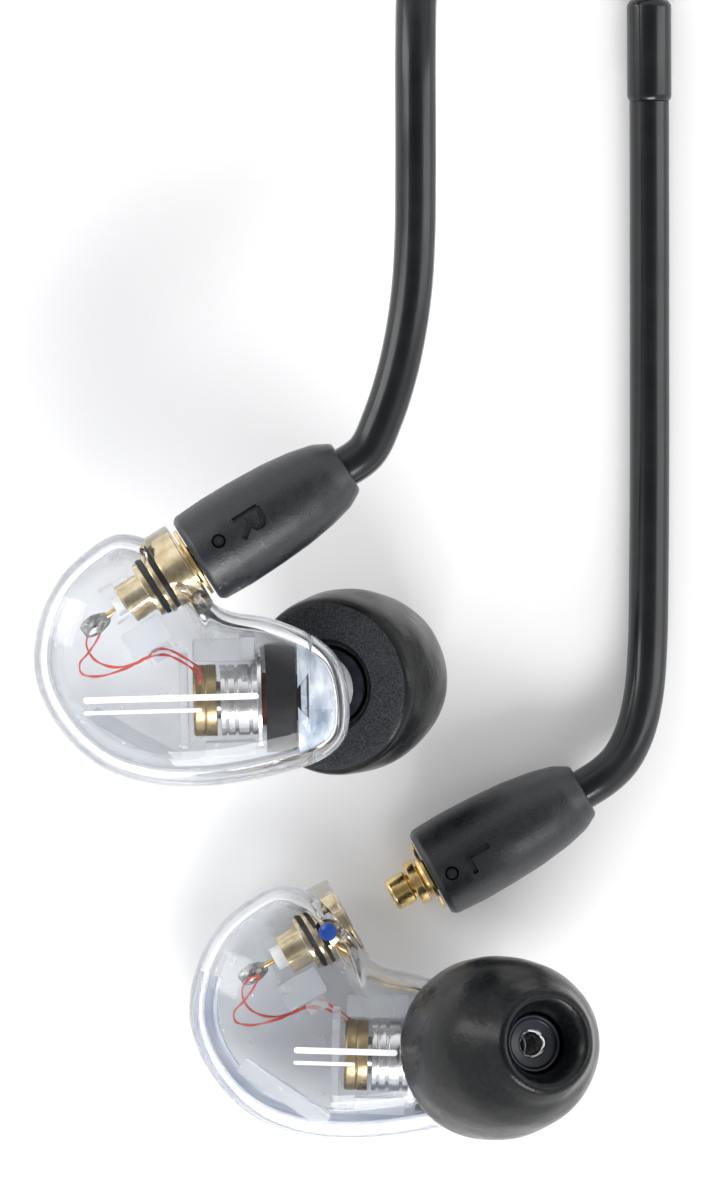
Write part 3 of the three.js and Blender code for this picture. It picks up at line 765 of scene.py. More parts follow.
def loft(loops, closed_ends=True):
    """Joins equal-length loops of points into a skin, with flat ends."""
    size = len(loops[0])
    vertices = [p for loop in loops for p in loop]
    faces = []
    for row in range(len(loops) - 1):
        for i in range(size):
            j = (i + 1) % size
            faces.append([row * size + i, (row + 1) * size + i, (row + 1) * size + j, row * size + j])
    if closed_ends:
        faces.append(list(range(size)))
        faces.append(list(range((len(loops) - 1) * size, len(loops) * size))[::-1])
    return vertices, faces


def add_slider():
    """The cinch slider: a soft-edged block that grips both branches, with a waist for the fingers."""
    stations = [
        (0.0, 2.75, 1.55), (0.25, 3.0, 1.8), (0.8, 3.1, 1.9), (2.6, 2.95, 1.75), (4.0, 2.85, 1.65),
        (5.4, 2.95, 1.75), (7.2, 3.1, 1.9), (7.75, 3.0, 1.8), (8.0, 2.75, 1.55)]
    loops = [
        [(x, y, z) for x, z in capsule_loop(width, height, 1.5)] for y, width, height in stations]
    start = SPLIT_START - 0.3 - SLIDER_LENGTH
    place = WORLD @ Matrix.Translation((PAIR_X, start, PAIR_HEIGHT))
    return add_piece("cinch_slider", loft(loops), place, "boot", "slider", ["slider"])


def add_jack_plug():
    """The 3.5 mm plug: body, ribbed tail, and a gold barrel with three insulating rings."""
    body = [(0, 0), (2.6, 0), (2.75, 0.25), (2.75, 0.7), (3.05, 0.95)]
    body += [(3.05, 8.4), (2.9, 8.7), (2.9, 9.1), (3.0, 9.4)]
    body += rib_profile(10.0, 1.35, 2.7, 0.25, 0.35, 0.6, 1.15)
    body += [(1.7, PLUG_BODY_LENGTH - 0.2), (1.45, PLUG_BODY_LENGTH), (0, PLUG_BODY_LENGTH)]
    body_start = PLUG_TIP + PLUG_BARREL_LENGTH + 0.05
    sleeve = add_piece(
        "jack_plug_body", turned(rounded(body, 0.15), 64),
        WORLD @ Matrix.Translation((PLUG_X, body_start, PLUG_HEIGHT)), "boot", "cable",
        ["plug_body"])
    place = WORLD @ Matrix.Translation((PLUG_X, PLUG_TIP, PLUG_HEIGHT))
    barrel = [
        (0, 0), (0.75, 0.2), (1.3, 1.0), (1.62, 1.75), (1.35, 2.35), (1.15, 2.8), (1.3, 3.2), (1.72, 3.6),
        (1.75, 3.9), (1.75, 5.2), (1.66, 5.25), (1.66, 5.85), (1.75, 5.9), (1.75, 7.8), (1.66, 7.85),
        (1.66, 8.45), (1.75, 8.5), (1.75, 13.5), (2.2, 13.55), (2.2, PLUG_BARREL_LENGTH),
        (0, PLUG_BARREL_LENGTH)]
    pin = add_piece("jack_plug_barrel", turned(rounded(barrel, 0.06), 64), place, "gold", "cable",
                    ["plug_barrel"])
    rings = []
    for number, start in enumerate((3.62, 5.27, 7.87)):
        shape = turned(rounded(pipe(1.76, 1.5, start, start + 0.56), 0.05), 48)
        name = f"jack_plug_ring_{number + 1}"
        rings.append(add_piece(name, shape, place, "seal", "cable"))
    return [sleeve, pin, *rings]


def add_tie():
    """A hook-and-loop strap round the hank, its end lapped over on top."""
    clearance, thickness, width = 0.3, 0.6, 6.0
    start = HANK_SOUTH + 19
    middle_z = (HANK_TOP + clearance + thickness) / 2
    bands = []
    for inset in (0.0, thickness):
        half_width = HANK_OUTER + clearance + thickness - inset
        half_height = middle_z + thickness / 2 - inset
        bands.append([(x, z + middle_z + thickness / 2) for x, z in
                      capsule_loop(half_width, half_height, 1.9 - inset, 10)])
    low = min(z for _, z in bands[0])
    outer = [(x, z - low) for x, z in bands[0]]
    inner = [(x, z - low) for x, z in bands[1]]
    edge = 0.12
    rings = [
        [(x, edge, z) for x, z in outer], [(x, width - edge, z) for x, z in outer],
        [(x, width, z) for x, z in mid_loop(outer, inner, 0.3)],
        [(x, width, z) for x, z in mid_loop(outer, inner, 0.7)],
        [(x, width - edge, z) for x, z in inner], [(x, edge, z) for x, z in inner],
        [(x, 0, z) for x, z in mid_loop(outer, inner, 0.7)],
        [(x, 0, z) for x, z in mid_loop(outer, inner, 0.3)]]
    vertices, faces = loft([*rings, rings[0]], closed_ends=False)
    size = len(outer)
    keep = len(rings) * size
    faces = [[v % keep for v in face] for face in faces]
    place = WORLD @ Matrix.Translation((HANK_X, start, 0))
    band = add_piece("strap_band", (vertices[:keep], faces), place, "strap", "cable", ["tie"])
    top = max(z for _, z in outer)
    stations = [
        (-6.0, 0.02), (-5.6, 0.45), (-5.0, 0.62), (6.0, 0.66), (11.5, 0.64), (12.3, 0.45), (12.6, 0.1)]
    loops = []
    for x, height in stations:
        flare = 0.35 if abs(x) > 5.5 else 0.0
        loops.append([(x, flare, top), (x, width - flare, top), (x, width - flare - 0.1, top + height),
                      (x, flare + 0.1, top + height)])
    lap = add_piece("strap_lap", loft(loops), place, "strap", "cable")
    return band, lap


def mid_loop(outer, inner, share):
    """The loop that lies a share of the way from the outer one to the inner one."""
    rest = 1 - share
    return [(a[0] * rest + b[0] * share, a[1] * rest + b[1] * share) for a, b in zip(outer, inner)]


def add_stored_cable():
    split = add_split()
    slider = add_slider()
    plug = add_jack_plug()
    band, lap = add_tie()
    for side in SIDES:
        branch = cord_curve(f"{side}_branch_cord", branch_path(side), BRANCH_DIAMETER, "cable", "cable",
                            [f"{side}_branch"])
    main = cord_curve("main_cord", main_path(), MAIN_DIAMETER, "cable", "cable", ["hank"])


add_hooks()
add_stored_cable()


# ---------------------------------------------------------------- solids cut from each other

def solid(name, shape, matrix=None):
    """A working mesh object in the piece's own millimetres, used in a cut or a join."""
    vertices, faces = shape
    mesh = bpy.data.meshes.new(name)
    mesh.from_pydata([Vector(v) if matrix is None else matrix @ Vector(v) for v in vertices], [], faces)
    form = bmesh.new()
    form.from_mesh(mesh)
    bmesh.ops.recalc_face_normals(form, faces=form.faces)
    form.to_mesh(mesh)
    form.free()
    item = bpy.data.objects.new(name, mesh)
    bpy.context.scene.collection.objects.link(item)
    return item


def discard(*items):
    """Removes working solids from the scene."""
    for item in items:
        mesh = item.data
        bpy.data.objects.remove(item)
        bpy.data.meshes.remove(mesh)


def combined(base, operation, *tools):
    """The base after a union, difference or intersection with each tool; all of them are used up."""
    for tool in tools:
        modifier = base.modifiers.new(operation, "BOOLEAN")
        modifier.operation = operation
        modifier.solver = "MANIFOLD"
        modifier.object = tool
    evaluated = base.evaluated_get(bpy.context.evaluated_depsgraph_get())
    mesh = bpy.data.meshes.new_from_object(evaluated)
    result = bpy.data.objects.new(base.name, mesh)
    bpy.context.scene.collection.objects.link(result)
    discard(base, *tools)
    return result


def shape_of(form):
    """A working bmesh as (vertices, faces); the bmesh is used up."""
    form.verts.index_update()
    shape = [tuple(v.co) for v in form.verts], [[v.index for v in face.verts] for face in form.faces]
    form.free()
    return shape


def soft_block(low, high, edge=0.15):
    """A box between two corners with rounded edges."""
    form = bmesh.new()
    bmesh.ops.create_cube(form, size=1)
    centre = [(a + b) / 2 for a, b in zip(low, high)]
    span = [b - a for a, b in zip(low, high)]
    for vertex in form.verts:
        vertex.co = Vector([c + s * v for c, s, v in zip(centre, span, vertex.co)])
    if edge:
        bmesh.ops.bevel(form, geom=form.edges[:], offset=edge, segments=3, profile=0.5, affect="EDGES")
    return shape_of(form)


def place_solid(name, item, matrix, material, body, replaces=(), sharp=28):
    """Turns a working solid into a finished piece."""
    mesh = item.data.copy()
    mesh.transform(matrix)
    if matrix.determinant() < 0:
        mesh.flip_normals()
    return finish_piece(name, mesh, material, body, replaces, sharp)


# ---------------------------------------------------------------- earphone body

def outline_ring():
    """The body's outline and its outward normals, in millimetres."""
    points = smooth_path([(x, y, 0) for x, y in BODY_OUTLINE], 9, closed=True)
    ring = []
    for i, point in enumerate(points):
        along = (points[(i + 1) % len(points)] - points[i - 1]).normalized()
        ring.append((point, Vector((along.y, -along.x, 0))))
    return ring


OUTLINE_RING = outline_ring()


def skin(inset, rows=26):
    """The body's closed skin, moved inwards."""
    centre = Vector((*BODY_CENTRE, 0))
    vertices = []
    levels = []
    for half, depth, fullness in ((-1, INNER_DEPTH, INNER_FULLNESS), (1, OUTER_HEIGHT, OUTER_FULLNESS)):
        shares = [i / rows for i in range(1, rows)]
        if half < 0:
            shares = shares[::-1]
        else:
            shares = [0.0] + shares
        for share in shares:
            latitude = math.pi / 2 * share * share * (3 - 2 * share)
            spread = math.cos(latitude) ** (2 / fullness)
            rise = math.sin(latitude) ** (2 / fullness)
            levels.append((spread, BODY_MID + half * (depth - inset) * rise))
    for spread, z in levels:
        for point, normal in OUTLINE_RING:
            at = centre + (point - normal * inset - centre) * spread
            vertices.append((at.x, at.y, z))
    size = len(OUTLINE_RING)
    faces = []
    for row in range(len(levels) - 1):
        for i in range(size):
            j = (i + 1) % size
            faces.append([row * size + i, row * size + j, (row + 1) * size + j, (row + 1) * size + i])
    vertices.append((centre.x, centre.y, BODY_MID - INNER_DEPTH + inset))
    vertices.append((centre.x, centre.y, BODY_MID + OUTER_HEIGHT - inset))
    bottom, top = len(vertices) - 2, len(vertices) - 1
    last = (len(levels) - 1) * size
    for i in range(size):
        j = (i + 1) % size
        faces.append([bottom, j, i])
        faces.append([top, last + i, last + j])
    return vertices, faces


def nozzle_outside():
    return rounded([
        (0, -5), (2.5, -5), (2.7, -2.6), (2.5, -0.9), (1.7, -0.4), (NOZZLE_RADIUS, 0.2),
        (NOZZLE_RADIUS, 5.0), (1.42, 5.3), (1.42, 5.8), (NOZZLE_RADIUS, 6.1), (NOZZLE_RADIUS, NOZZLE_END),
        (0, NOZZLE_END)], 0.25)


def nozzle_inside():
    return rounded([
        (0, -6.5), (1.8, -6.5), (1.9, -2.6), (1.6, -1.4), (NOZZLE_BORE, 0), (NOZZLE_BORE, 9.8),
        (0, 9.8)], 0.25)


def cavity(inset=WALL, name="cavity"):
    return solid(name, skin(inset))


def body_solid():
    """Skin, socket neck and nozzle in one, hollowed, with the marker's window cut in."""
    neck = rounded([(0, -NECK_LENGTH), (NECK_RADIUS, -NECK_LENGTH), (NECK_RADIUS, 0), (0, 0)], 0.25)
    bore = [
        (0, -NECK_LENGTH - 1), (NECK_BORE, -NECK_LENGTH - 1), (NECK_BORE, -3.7), (1.65, -3.7), (1.65, -1.6),
        (2.1, -1.4), (2.1, 0.6), (0, 0.6)]
    body = combined(
        solid("body", skin(0)), "UNION",
        solid("neck", turned(neck, 72), IN_SOCKET),
        solid("nozzle", turned(nozzle_outside(), 64), IN_NOZZLE))
    window = Matrix.Translation((*MARKER_AT, -6)) @ Matrix.Rotation(math.pi / 2, 4, "X")
    return combined(
        body, "DIFFERENCE", cavity(), solid("neck_bore", turned(bore, 72), IN_SOCKET),
        solid("nozzle_bore", turned(nozzle_inside(), 56), IN_NOZZLE),
        solid("driver_room", turned(rod(4.3, 6.1, 10.1), 72), IN_DRIVER),
        solid("marker_window", turned(rod(0.95, -3.2, 3.2), 40), window))


def half_space(low_z, high_z):
    return solid("half_space", soft_block((-40, -40, low_z), (40, 40, high_z), 0))


def copy_solid(item):
    twin = bpy.data.objects.new(item.name, item.data.copy())
    bpy.context.scene.collection.objects.link(twin)
    return twin


def cavity_part(name, shape, inset, matrix=None):
    """A shape trimmed to what fits inside the hollow body."""
    return combined(solid(name, shape, matrix), "INTERSECT", cavity(inset))


def milky_chamber():
    """The cloudy moulding between driver and nozzle."""
    block = cavity_part("chamber", soft_block((9.2, -10, -8), (14, 5, 5), 0.2), WALL + 0.06)
    hollow = cavity_part("chamber_hollow", soft_block((9.0, -10, -8), (12.0, 5, 5), 0), WALL + 0.85)
    gasket_room = solid("gasket_room", turned(rod(4.05, 9.0, 9.95), 64), IN_DRIVER)
    clear_of = solid("nozzle_room", turned([(0, -5.4), (2.85, -5.4), (2.85, 0.5), (0, 0.5)], 48), IN_NOZZLE)
    return combined(block, "DIFFERENCE", hollow, gasket_room, clear_of)


# The stretch of the outline that the ledge follows, as shares of the way round.
RIM_SPAN = (0.15, 0.62)


def rim_channel():
    """The ledge along the seam on the body's lower side, a strip with a groove in it."""
    count = len(OUTLINE_RING)
    first, last = (int(count * share) for share in RIM_SPAN)
    section = [(WALL + 0.05, -1.3), (WALL + 0.05, -2.6), (WALL + 0.35, -2.6), (WALL + 0.35, -1.75),
               (WALL + 0.95, -1.75), (WALL + 0.95, -2.5), (WALL + 1.2, -2.5), (WALL + 1.2, -1.3)]
    loops = []
    for point, normal in OUTLINE_RING[first:last]:
        loops.append([(point.x - normal.x * inset, point.y - normal.y * inset, z) for inset, z in section])
    return solid("rim_channel", loft(loops))


def cradle_parts():
    """Clear ribs and blocks that hold the driver inside the body."""
    blocks = {
        "cradle_top": ((1.9, -0.1, -3.9), (6.3, 1.5, 0.9), 0.2),
        "cradle_front": ((5.2, 0.1, -3.0), (6.25, 1.8, 1.6), 0.2),
        "cradle_bottom": ((2.6, -6.9, -3.9), (6.2, -5.75, 0.4), 0.2),
        "cradle_back": ((0.9, -6.3, -3.6), (1.5, 0.6, -0.2), 0.12),
        "jack_holder": ((-1.8, 1.2, -3.2), (1.3, 3.2, 2.0), 0.2),
        "holder_step": ((-0.6, 0.2, -3.2), (0.9, 1.15, 0.6), 0.15),
        "rib_lower": ((-2.7, -6.5, -5.0), (4.5, -5.3, -3.6), 0.2),
    }
    turns = {"jack_holder": SOCKET_ANGLE, "holder_step": SOCKET_ANGLE, "rib_lower": -31.5}
    parts = {}
    for name, (low, high, edge) in blocks.items():
        matrix = Matrix.Rotation(math.radians(turns.get(name, 0)), 4, "Z")
        parts[name] = cavity_part(name, soft_block(low, high, edge), WALL + 0.05, matrix)
    return parts


# The half of each body that is polished on both faces.
CLEAR_HALF = {"right": "outer", "left": "inner"}


def build_bodies():
    """Both earphones' shells and clear inner mouldings, cut once and placed twice."""
    whole = body_solid()
    outer = combined(copy_solid(whole), "INTERSECT", half_space(PARTING, 30))
    inner = combined(whole, "INTERSECT", half_space(-30, PARTING - PARTING_GAP))
    chamber = milky_chamber()
    channel = rim_channel()
    cradle = cradle_parts()
    for side in SIDES:
        place = earphone_matrix(side)
        body = f"{side}_earphone"
        for half, item in (("outer", outer), ("inner", inner)):
            finish = "clear" if half == CLEAR_HALF[side] else "frosted"
            place_solid(f"{side}_{half}_shell_moulding", item, place, finish, body,
                        [f"{side}_{half}_shell"])
        place_solid(f"{side}_front_chamber", chamber, place, "milky", body)
        # The left ledge gets the blue-grey painted shade of the refracting seam wall; the right one stays
        # clear.
        ledge = "painted_rim_shade" if side == "left" else "inner_clear"
        place_solid(f"{side}_rim_channel", channel, place, ledge, body)
        for name, part in cradle.items():
            place_solid(f"{side}_{name}", part, place, "inner_clear", body)
    discard(outer, inner, chamber, channel, *cradle.values())


# Plain printed bars: (x, y) of each bar's middle, its length and its height.
PRINTED_BARS = {
    "right": [(0.3, -2.6, 12.4, 0.45), (-1.7, -3.5, 8.4, 0.28)],
    "left": [(1.9, -2.5, 7.4, 0.45), (0.4, -3.4, 4.4, 0.28)],
}
INK_THICKNESS = 0.015


def skin_height(x, y, half):
    """The height of the body's outer (half = 1) or inner (half = -1) face at a point."""
    centre = Vector(BODY_CENTRE)
    offset = Vector((x, y)) - centre
    direction = offset.normalized()
    edge = 0.0
    for i, (point, _) in enumerate(OUTLINE_RING):
        a = Vector((point.x, point.y)) - centre
        b = Vector(OUTLINE_RING[(i + 1) % len(OUTLINE_RING)][0].xy) - centre
        span = b - a
        turn = direction.cross(span)
        if abs(turn) < 1e-9:
            continue
        share = -direction.cross(a) / turn
        reach = a.cross(span) / turn
        if 0 <= share <= 1 and reach > 0:
            edge = reach
            break
    fullness, depth = (OUTER_FULLNESS, OUTER_HEIGHT) if half > 0 else (INNER_FULLNESS, INNER_DEPTH)
    spread = min(offset.length / edge, 1.0)
    latitude = math.acos(spread ** (fullness / 2))
    return BODY_MID + half * depth * math.sin(latitude) ** (2 / fullness)


def printed_bar(middle_x, middle_y, length, height, half):
    """A thin round-ended patch of ink lying on the body's face."""
    columns, rows = 48, 6
    radius = height / 2
    vertices, faces = [], []
    for i in range(columns + 1):
        along = -1 + 2 * i / columns
        along = math.sin(along * math.pi / 2)
        x = along * length / 2
        overrun = max(abs(x) - (length / 2 - radius), 0)
        reach = math.sqrt(max(radius ** 2 - overrun ** 2, 1e-4))
        for j in range(rows + 1):
            px, py = middle_x + x, middle_y + reach * (-1 + 2 * j / rows)
            vertices.append((px, py, skin_height(px, py, half) + half * INK_THICKNESS))
    for i in range(columns):
        for j in range(rows):
            a = i * (rows + 1) + j
            face = [a, a + rows + 1, a + rows + 2, a + 1]
            faces.append(face if half > 0 else face[::-1])
    return vertices, faces


def add_print(side):
    half = 1 if side == "right" else -1
    bars = merge([printed_bar(*bar, half) for bar in PRINTED_BARS[side]])
    add_piece(f"{side}_printed_bars", bars, earphone_matrix(side), "ink", f"{side}_earphone")


# ---------------------------------------------------------------- inside the earphone

SOCKET_PARTS = {
    # part: (profile, corner radius, material, slot)
    "jack_body": ([
        (1.95, -0.85), (1.95, -1.5), (1.5, -1.5), (1.5, -3.25), (1.15, -3.25), (1.15, -5.3), (1.5, -5.3),
        (1.5, -3.6), (2.1, -3.6), (2.1, -3.2), (1.8, -3.2), (1.8, -2.75), (2.3, -2.75), (2.3, -2.4),
        (1.8, -2.4), (1.8, -2.0), (2.25, -2.0), (2.25, -0.2), (1.95, -0.2), (1.95, -0.85)],
        0.07, "pale_gold", "gold"),
    "jack_insulator": (pipe(0.85, 0.5, -6.1, -3.5), 0.06, "ptfe", "ptfe"),
    "jack_contact": (rod(0.2, -7.2, -3.2), 0.06, "gold", "gold"),
}

# Dark washers between the jack's flanges.
JACK_WASHERS = ((-2.38, -2.03), (-3.17, -2.8))

DRIVER_PARTS = {
    "driver_cup": ([
        (0, 1.84), (2.4, 1.84), (2.55, 2.0), (2.55, 2.62), (2.47, 2.7), (2.55, 2.78), (2.55, 3.5),
        (2.2, 3.5), (2.2, 2.2), (0, 2.2)], 0.05, "brass", "driver_brass"),
    "driver_magnet": (rod(1.35, 2.5, 4.6), 0.08, "magnet", "magnet"),
    "driver_plate": (rod(1.35, 4.9, 5.5), 0.06, "steel", "steel"),
    "driver_frame": ([
        (2.25, 5.0), (2.25, 6.7), (3.7, 6.7), (3.7, 6.4), (2.55, 6.4), (2.55, 6.0), (2.35, 5.97),
        (2.35, 5.83), (2.55, 5.8), (2.55, 5.0), (2.35, 4.97), (2.35, 4.83), (2.55, 4.8), (2.55, 4.3),
        (2.4, 4.27), (2.4, 4.17), (2.55, 4.14), (2.55, 3.8), (2.25, 3.8), (2.25, 5.0)],
        0.04, "steel", "steel"),
    "driver_front_ring": (pipe(DRIVER_FRONT_RADIUS, 3.3, 7.0, 9.1), 0.12, "seal", "black_plastic"),
    "gasket": (pipe(3.9, 3.2, 9.4, 9.8), 0.1, "milky", "film"),
}


def coil_profile():
    """The voice coil's section, with the turns of its winding showing outside."""
    low, high, outer, inner, turns = 4.9, 7.2, 1.9, 1.65, 22
    pitch = (high - low) / turns
    points = [(inner, (low + high) / 2), (inner, low)]
    for i in range(turns):
        start = low + i * pitch
        points += [(outer - 0.05, start), (outer, start + pitch * 0.5)]
    points += [(outer - 0.05, high), (inner, high), (inner, (low + high) / 2)]
    return points


def diaphragm_profile():
    """A dome with a rolled surround."""
    top = [
        (0, 8.3), (0.6, 8.27), (1.2, 8.16), (1.7, 7.95), (1.95, 7.75), (2.15, 7.9), (2.4, 7.98),
        (2.65, 7.9), (2.85, 7.72), (3.0, 7.65)]
    bottom = [(3.0, 7.57), (1.95, 7.6), (1.7, 7.8), (1.2, 8.0), (0.6, 8.12), (0, 8.15)]
    return top + bottom


def tube(path, radius, sides=10):
    """A round tube of flat rings along a dense path."""
    vertices, faces = [], []
    for i, point in enumerate(path):
        along = (path[min(i + 1, len(path) - 1)] - path[max(i - 1, 0)]).normalized()
        aside = along.cross(Vector((0, 0, 1))).normalized()
        up = aside.cross(along)
        for k in range(sides):
            angle = 2 * math.pi * k / sides
            vertices.append(point + (aside * math.cos(angle) + up * math.sin(angle)) * radius)
    for row in range(len(path) - 1):
        for k in range(sides):
            j = (k + 1) % sides
            faces.append([row * sides + k, (row + 1) * sides + k, (row + 1) * sides + j, row * sides + j])
    faces.append(list(range(sides)))
    faces.append([(len(path) - 1) * sides + k for k in range(sides)][::-1])
    return vertices, faces


def merge(shapes):
    """Several shapes as one."""
    vertices, faces = [], []
    for more_vertices, more_faces in shapes:
        base = len(vertices)
        vertices += list(more_vertices)
        faces += [[v + base for v in face] for face in more_faces]
    return vertices, faces


# Both leads run from the solder joint to the driver's cup.
LEAD_ROUTES = (
    [(-4.35, 2.6, -1), (-4.8, 1.7, -1.4), (-5.5, 0.7, -1.5), (-6.1, 0, -1.5), (-6, -0.7, -1.5),
     (-4.9, -0.95, -1.5), (-2.8, -0.4, -1), (-1.3, 0.3, 0), (0, 0.45, 0.8), (1.2, -0.1, 1.4),
     (2.2, -0.95, 1.5), (2.35, -1.6, 1.3)],
    [(-4.35, 2.6, -1), (-5.2, 2.3, -1.2), (-5.6, 1.4, -1.5), (-5.1, 0.3, -1.5), (-3.8, -0.3, -1.2),
     (-1.9, 0, -0.3), (-0.3, 0.9, 0.6), (1.2, 0.3, 1.3), (2.4, -0.7, 1.5), (2.35, -1.6, 1.3)],
)


STRAND_RADIUS = 0.055
STRAND_TWIST = 0.32


def lead_strands():
    """Each lead is a pair of fine enamelled strands twisted loosely round each other."""
    strands = []
    for route in LEAD_ROUTES:
        path = smooth_path(route, 10)
        for phase in (0, math.pi):
            strand = []
            for i, point in enumerate(path):
                angle = phase + i * STRAND_TWIST
                strand.append(point + Vector((0, math.cos(angle), math.sin(angle))) * STRAND_RADIUS)
            strands.append(tube(strand, STRAND_RADIUS, 8))
    return merge(strands)


def solder_blob():
    """A tinned joint: a lumpy drop drawn out towards the contact."""
    form = bmesh.new()
    bmesh.ops.create_icosphere(form, subdivisions=4, radius=0.75)
    for vertex in form.verts:
        x, y, z = vertex.co
        swell = 1 + 0.09 * math.sin(5 * x + 1.3) * math.cos(4 * y) + 0.06 * math.sin(7 * z + 2 * y)
        taper = 1 - 0.35 * max(y, 0) / 0.75
        vertex.co = Vector((x * swell * taper, y * 1.6 * swell, z * 0.9 * swell * taper))
    return shape_of(form)


def marker_profile():
    """A glossy domed dot."""
    return [(0, -0.3), (0.62, -0.3), (0.65, -0.25), (0.65, 0.15), (0.58, 0.24), (0.4, 0.29), (0, 0.31)]


def add_inner_parts(side):
    place = earphone_matrix(side)
    body = f"{side}_earphone"
    for parts, where in ((SOCKET_PARTS, IN_SOCKET), (DRIVER_PARTS, IN_DRIVER)):
        for name, (profile, corner, material, slot) in parts.items():
            shape = turned(rounded(profile, corner), 72)
            node = f"{side}_{name}"
            add_piece(f"{node}_turned", shape, place @ where, material, body, [node])
    for number, (low, high) in enumerate(JACK_WASHERS):
        shape = turned(rounded(pipe(2.15, 1.84, low, high), 0.05), 64)
        add_piece(f"{side}_jack_washer_{number + 1}", shape, place @ IN_SOCKET, "seal", body)
    blob = place @ IN_SOCKET @ Matrix.Translation((0.1, -7.9, 0))
    add_piece(f"{side}_solder_drop", solder_blob(), blob, "solder", body,
              [f"{side}_solder_joint"])
    add_piece(f"{side}_lead_strands", lead_strands(), place, "red_wire", body,
              [f"{side}_driver_leads"])
    damper = turned(rounded(rod(0.55, 1.5, 2.1), 0.08), 40)
    add_piece(f"{side}_nozzle_screen", damper, place @ IN_NOZZLE, "mesh", body,
              [f"{side}_nozzle_damper"])
    dot = "red_dot" if side == "right" else "blue_dot"
    dot_place = place @ Matrix.Translation((*MARKER_AT, -3.1)) @ Matrix.Rotation(-math.pi / 2, 4, "X")
    add_piece(f"{side}_marker_enamel", turned(marker_profile(), 48), dot_place, dot, body,
              [f"{side}_marker_dot"])
    coil = f"{side}_coil"
    add_piece(f"{side}_coil_winding", turned(coil_profile(), 72), place @ IN_DRIVER, "copper", coil,
              [f"{side}_voice_coil"], 80)
    add_piece(f"{side}_diaphragm_dome", turned(diaphragm_profile(), 72), place @ IN_DRIVER, "film", coil,
              [f"{side}_diaphragm"], 80)


# ---------------------------------------------------------------- ear tip

def smooth_profile(points, per_span=5):
    path = smooth_path([(r, h, 0) for r, h in points], per_span)
    return [(max(p.x, 0.0), p.y) for p in path]


def foam_shape(seed):
    """The moulded foam cup with soft dents, as slow-recovery foam keeps after handling."""
    outside = smooth_profile([
        (2.2, 9.95), (2.4, 10.7), (2.75, 11.45), (3.2, 11.9), (3.65, 11.8), (4.05, 11.25), (4.45, 10.55),
        (5.15, 9.55), (5.9, 8.0), (6.38, 6.0), (6.6, 4.0), (6.55, 2.2), (6.45, 1.1), (6.25, 0.45),
        (5.9, 0.12)])
    back = [
        (5.9, 0.12), (5.6, 0.02), (5.0, 0.05), (4.2, 0.08), (3.4, 0.12), (3.08, 0.2), (3.0, 0.4),
        (3.0, 1.0), (2.7, 1.5), (2.45, 1.8), (2.42, 9.4), (2.32, 9.75), (2.2, 9.95)]
    vertices, faces = turned(outside + back[1:], 128)
    dented = []
    for x, y, z in vertices:
        radius = math.hypot(x, z)
        reach = min(max((radius - 2.6) / 1.5, 0), 1) * min(max(y / 1.5, 0), 1)
        turn = math.atan2(x, z)
        dent = (0.05 * math.sin(2 * turn + 0.5 * y + seed) + 0.025 * math.sin(5 * turn - 0.9 * y + 2 * seed)
                + 0.012 * math.sin(9 * turn + 1.7 * y + 3 * seed))
        grow = 1 + (dent - 0.06) * reach / max(radius, 1)
        dented.append((x * grow, y, z * grow))
    return dented, faces


def core_profile():
    """The core tube: a collar that shows behind the foam, and a stepped mouth."""
    return [
        (1.6, 5.0), (1.6, 0.4), (2.7, 0.4), (2.7, 0.8), (2.1, 1.3), (2.1, 9.6), (2.0, 9.72), (1.85, 9.72),
        (1.7, 9.45), (1.08, 9.42), (1.0, 9.35), (1.08, 9.28), (1.6, 9.26), (1.6, 5.0)]


# The foam's back face, cut flat, and the mouth of its bore show open cells.
CUT_FACE_DEPTH = 0.16
FOAM_BORE_RADIUS = 3.05


def add_tip(side):
    place = earphone_matrix(side) @ IN_NOZZLE
    body = f"{side}_tip"
    seed = 0.6 if side == "right" else 2.2
    foam = add_piece(f"{side}_foam_cup", foam_shape(seed), place, "foam", body,
                     [f"{side}_tip_foam"], 60)
    foam.data.materials.append(MATERIALS["foam_cut"])
    back = place.inverted()
    for face in foam.data.polygons:
        local = back @ face.center
        in_bore = local.y < 2 and math.hypot(local.x, local.z) < FOAM_BORE_RADIUS
        if local.y < CUT_FACE_DEPTH or in_bore:
            face.material_index = 1
    core = turned(rounded(core_profile(), 0.1), 72)
    add_piece(f"{side}_core_tube", core, place, "core", body, [f"{side}_tip_core"])


# ---------------------------------------------------------------- connectors

BOOT_PROFILE = [
    (1.5, 1.2), (1.5, 0), (3.1, 0), (3.4, 0.35), (3.5, 2.6), (3.45, 5.0), (3.3, 7.5), (3.0, 9.65),
    (2.6, 11.3), (2.05, 12.3), (1.85, BOOT_LENGTH), (0, BOOT_LENGTH), (0, 2.5), (1.5, 2.5), (1.5, 1.2)]

PLUG_PARTS = {
    "plug_shell": ([
        (1.2, -2.4), (1.2, -3.0), (1.08, -3.18), (0.9, -3.2), (0.9, 1.8), (0, 1.8), (0, 2.2), (1.2, 2.2),
        (1.2, -0.1), (2.6, -0.1), (2.6, -0.35), (1.6, -0.35), (1.55, -0.6), (1.05, -0.65), (1.05, -1.7),
        (1.2, -1.75), (1.2, -2.4)], 0.06, "gold", "gold"),
    "plug_insulator": (pipe(0.62, 0.4, -2.3, 1.2), 0.05, "ptfe", "ptfe"),
    "plug_pin": (rod(0.15, -2.9, 1.5), 0.05, "gold", "gold"),
}

# Where each boot's letter and dimple sit: (x, y) across and along the boot.
LETTER_AT = {"right": (-0.2, 4.7), "left": (0.74, 3.75)}
DIMPLE_AT = {"right": (-0.3, 2.1), "left": (0.65, 1.4)}
LETTER_STROKES = {
    "right": [
        [(-0.75, -1.0), (-0.75, 1.0)],
        [(-0.75, 0.95), (0.1, 0.95), (0.55, 0.7), (0.55, 0.2), (0.1, 0.0), (-0.7, 0.0)],
        [(0.0, 0.0), (0.75, -1.0)]],
    "left": [[(-0.6, 0.95), (-0.6, -0.8), (0.75, -0.8)]],
}


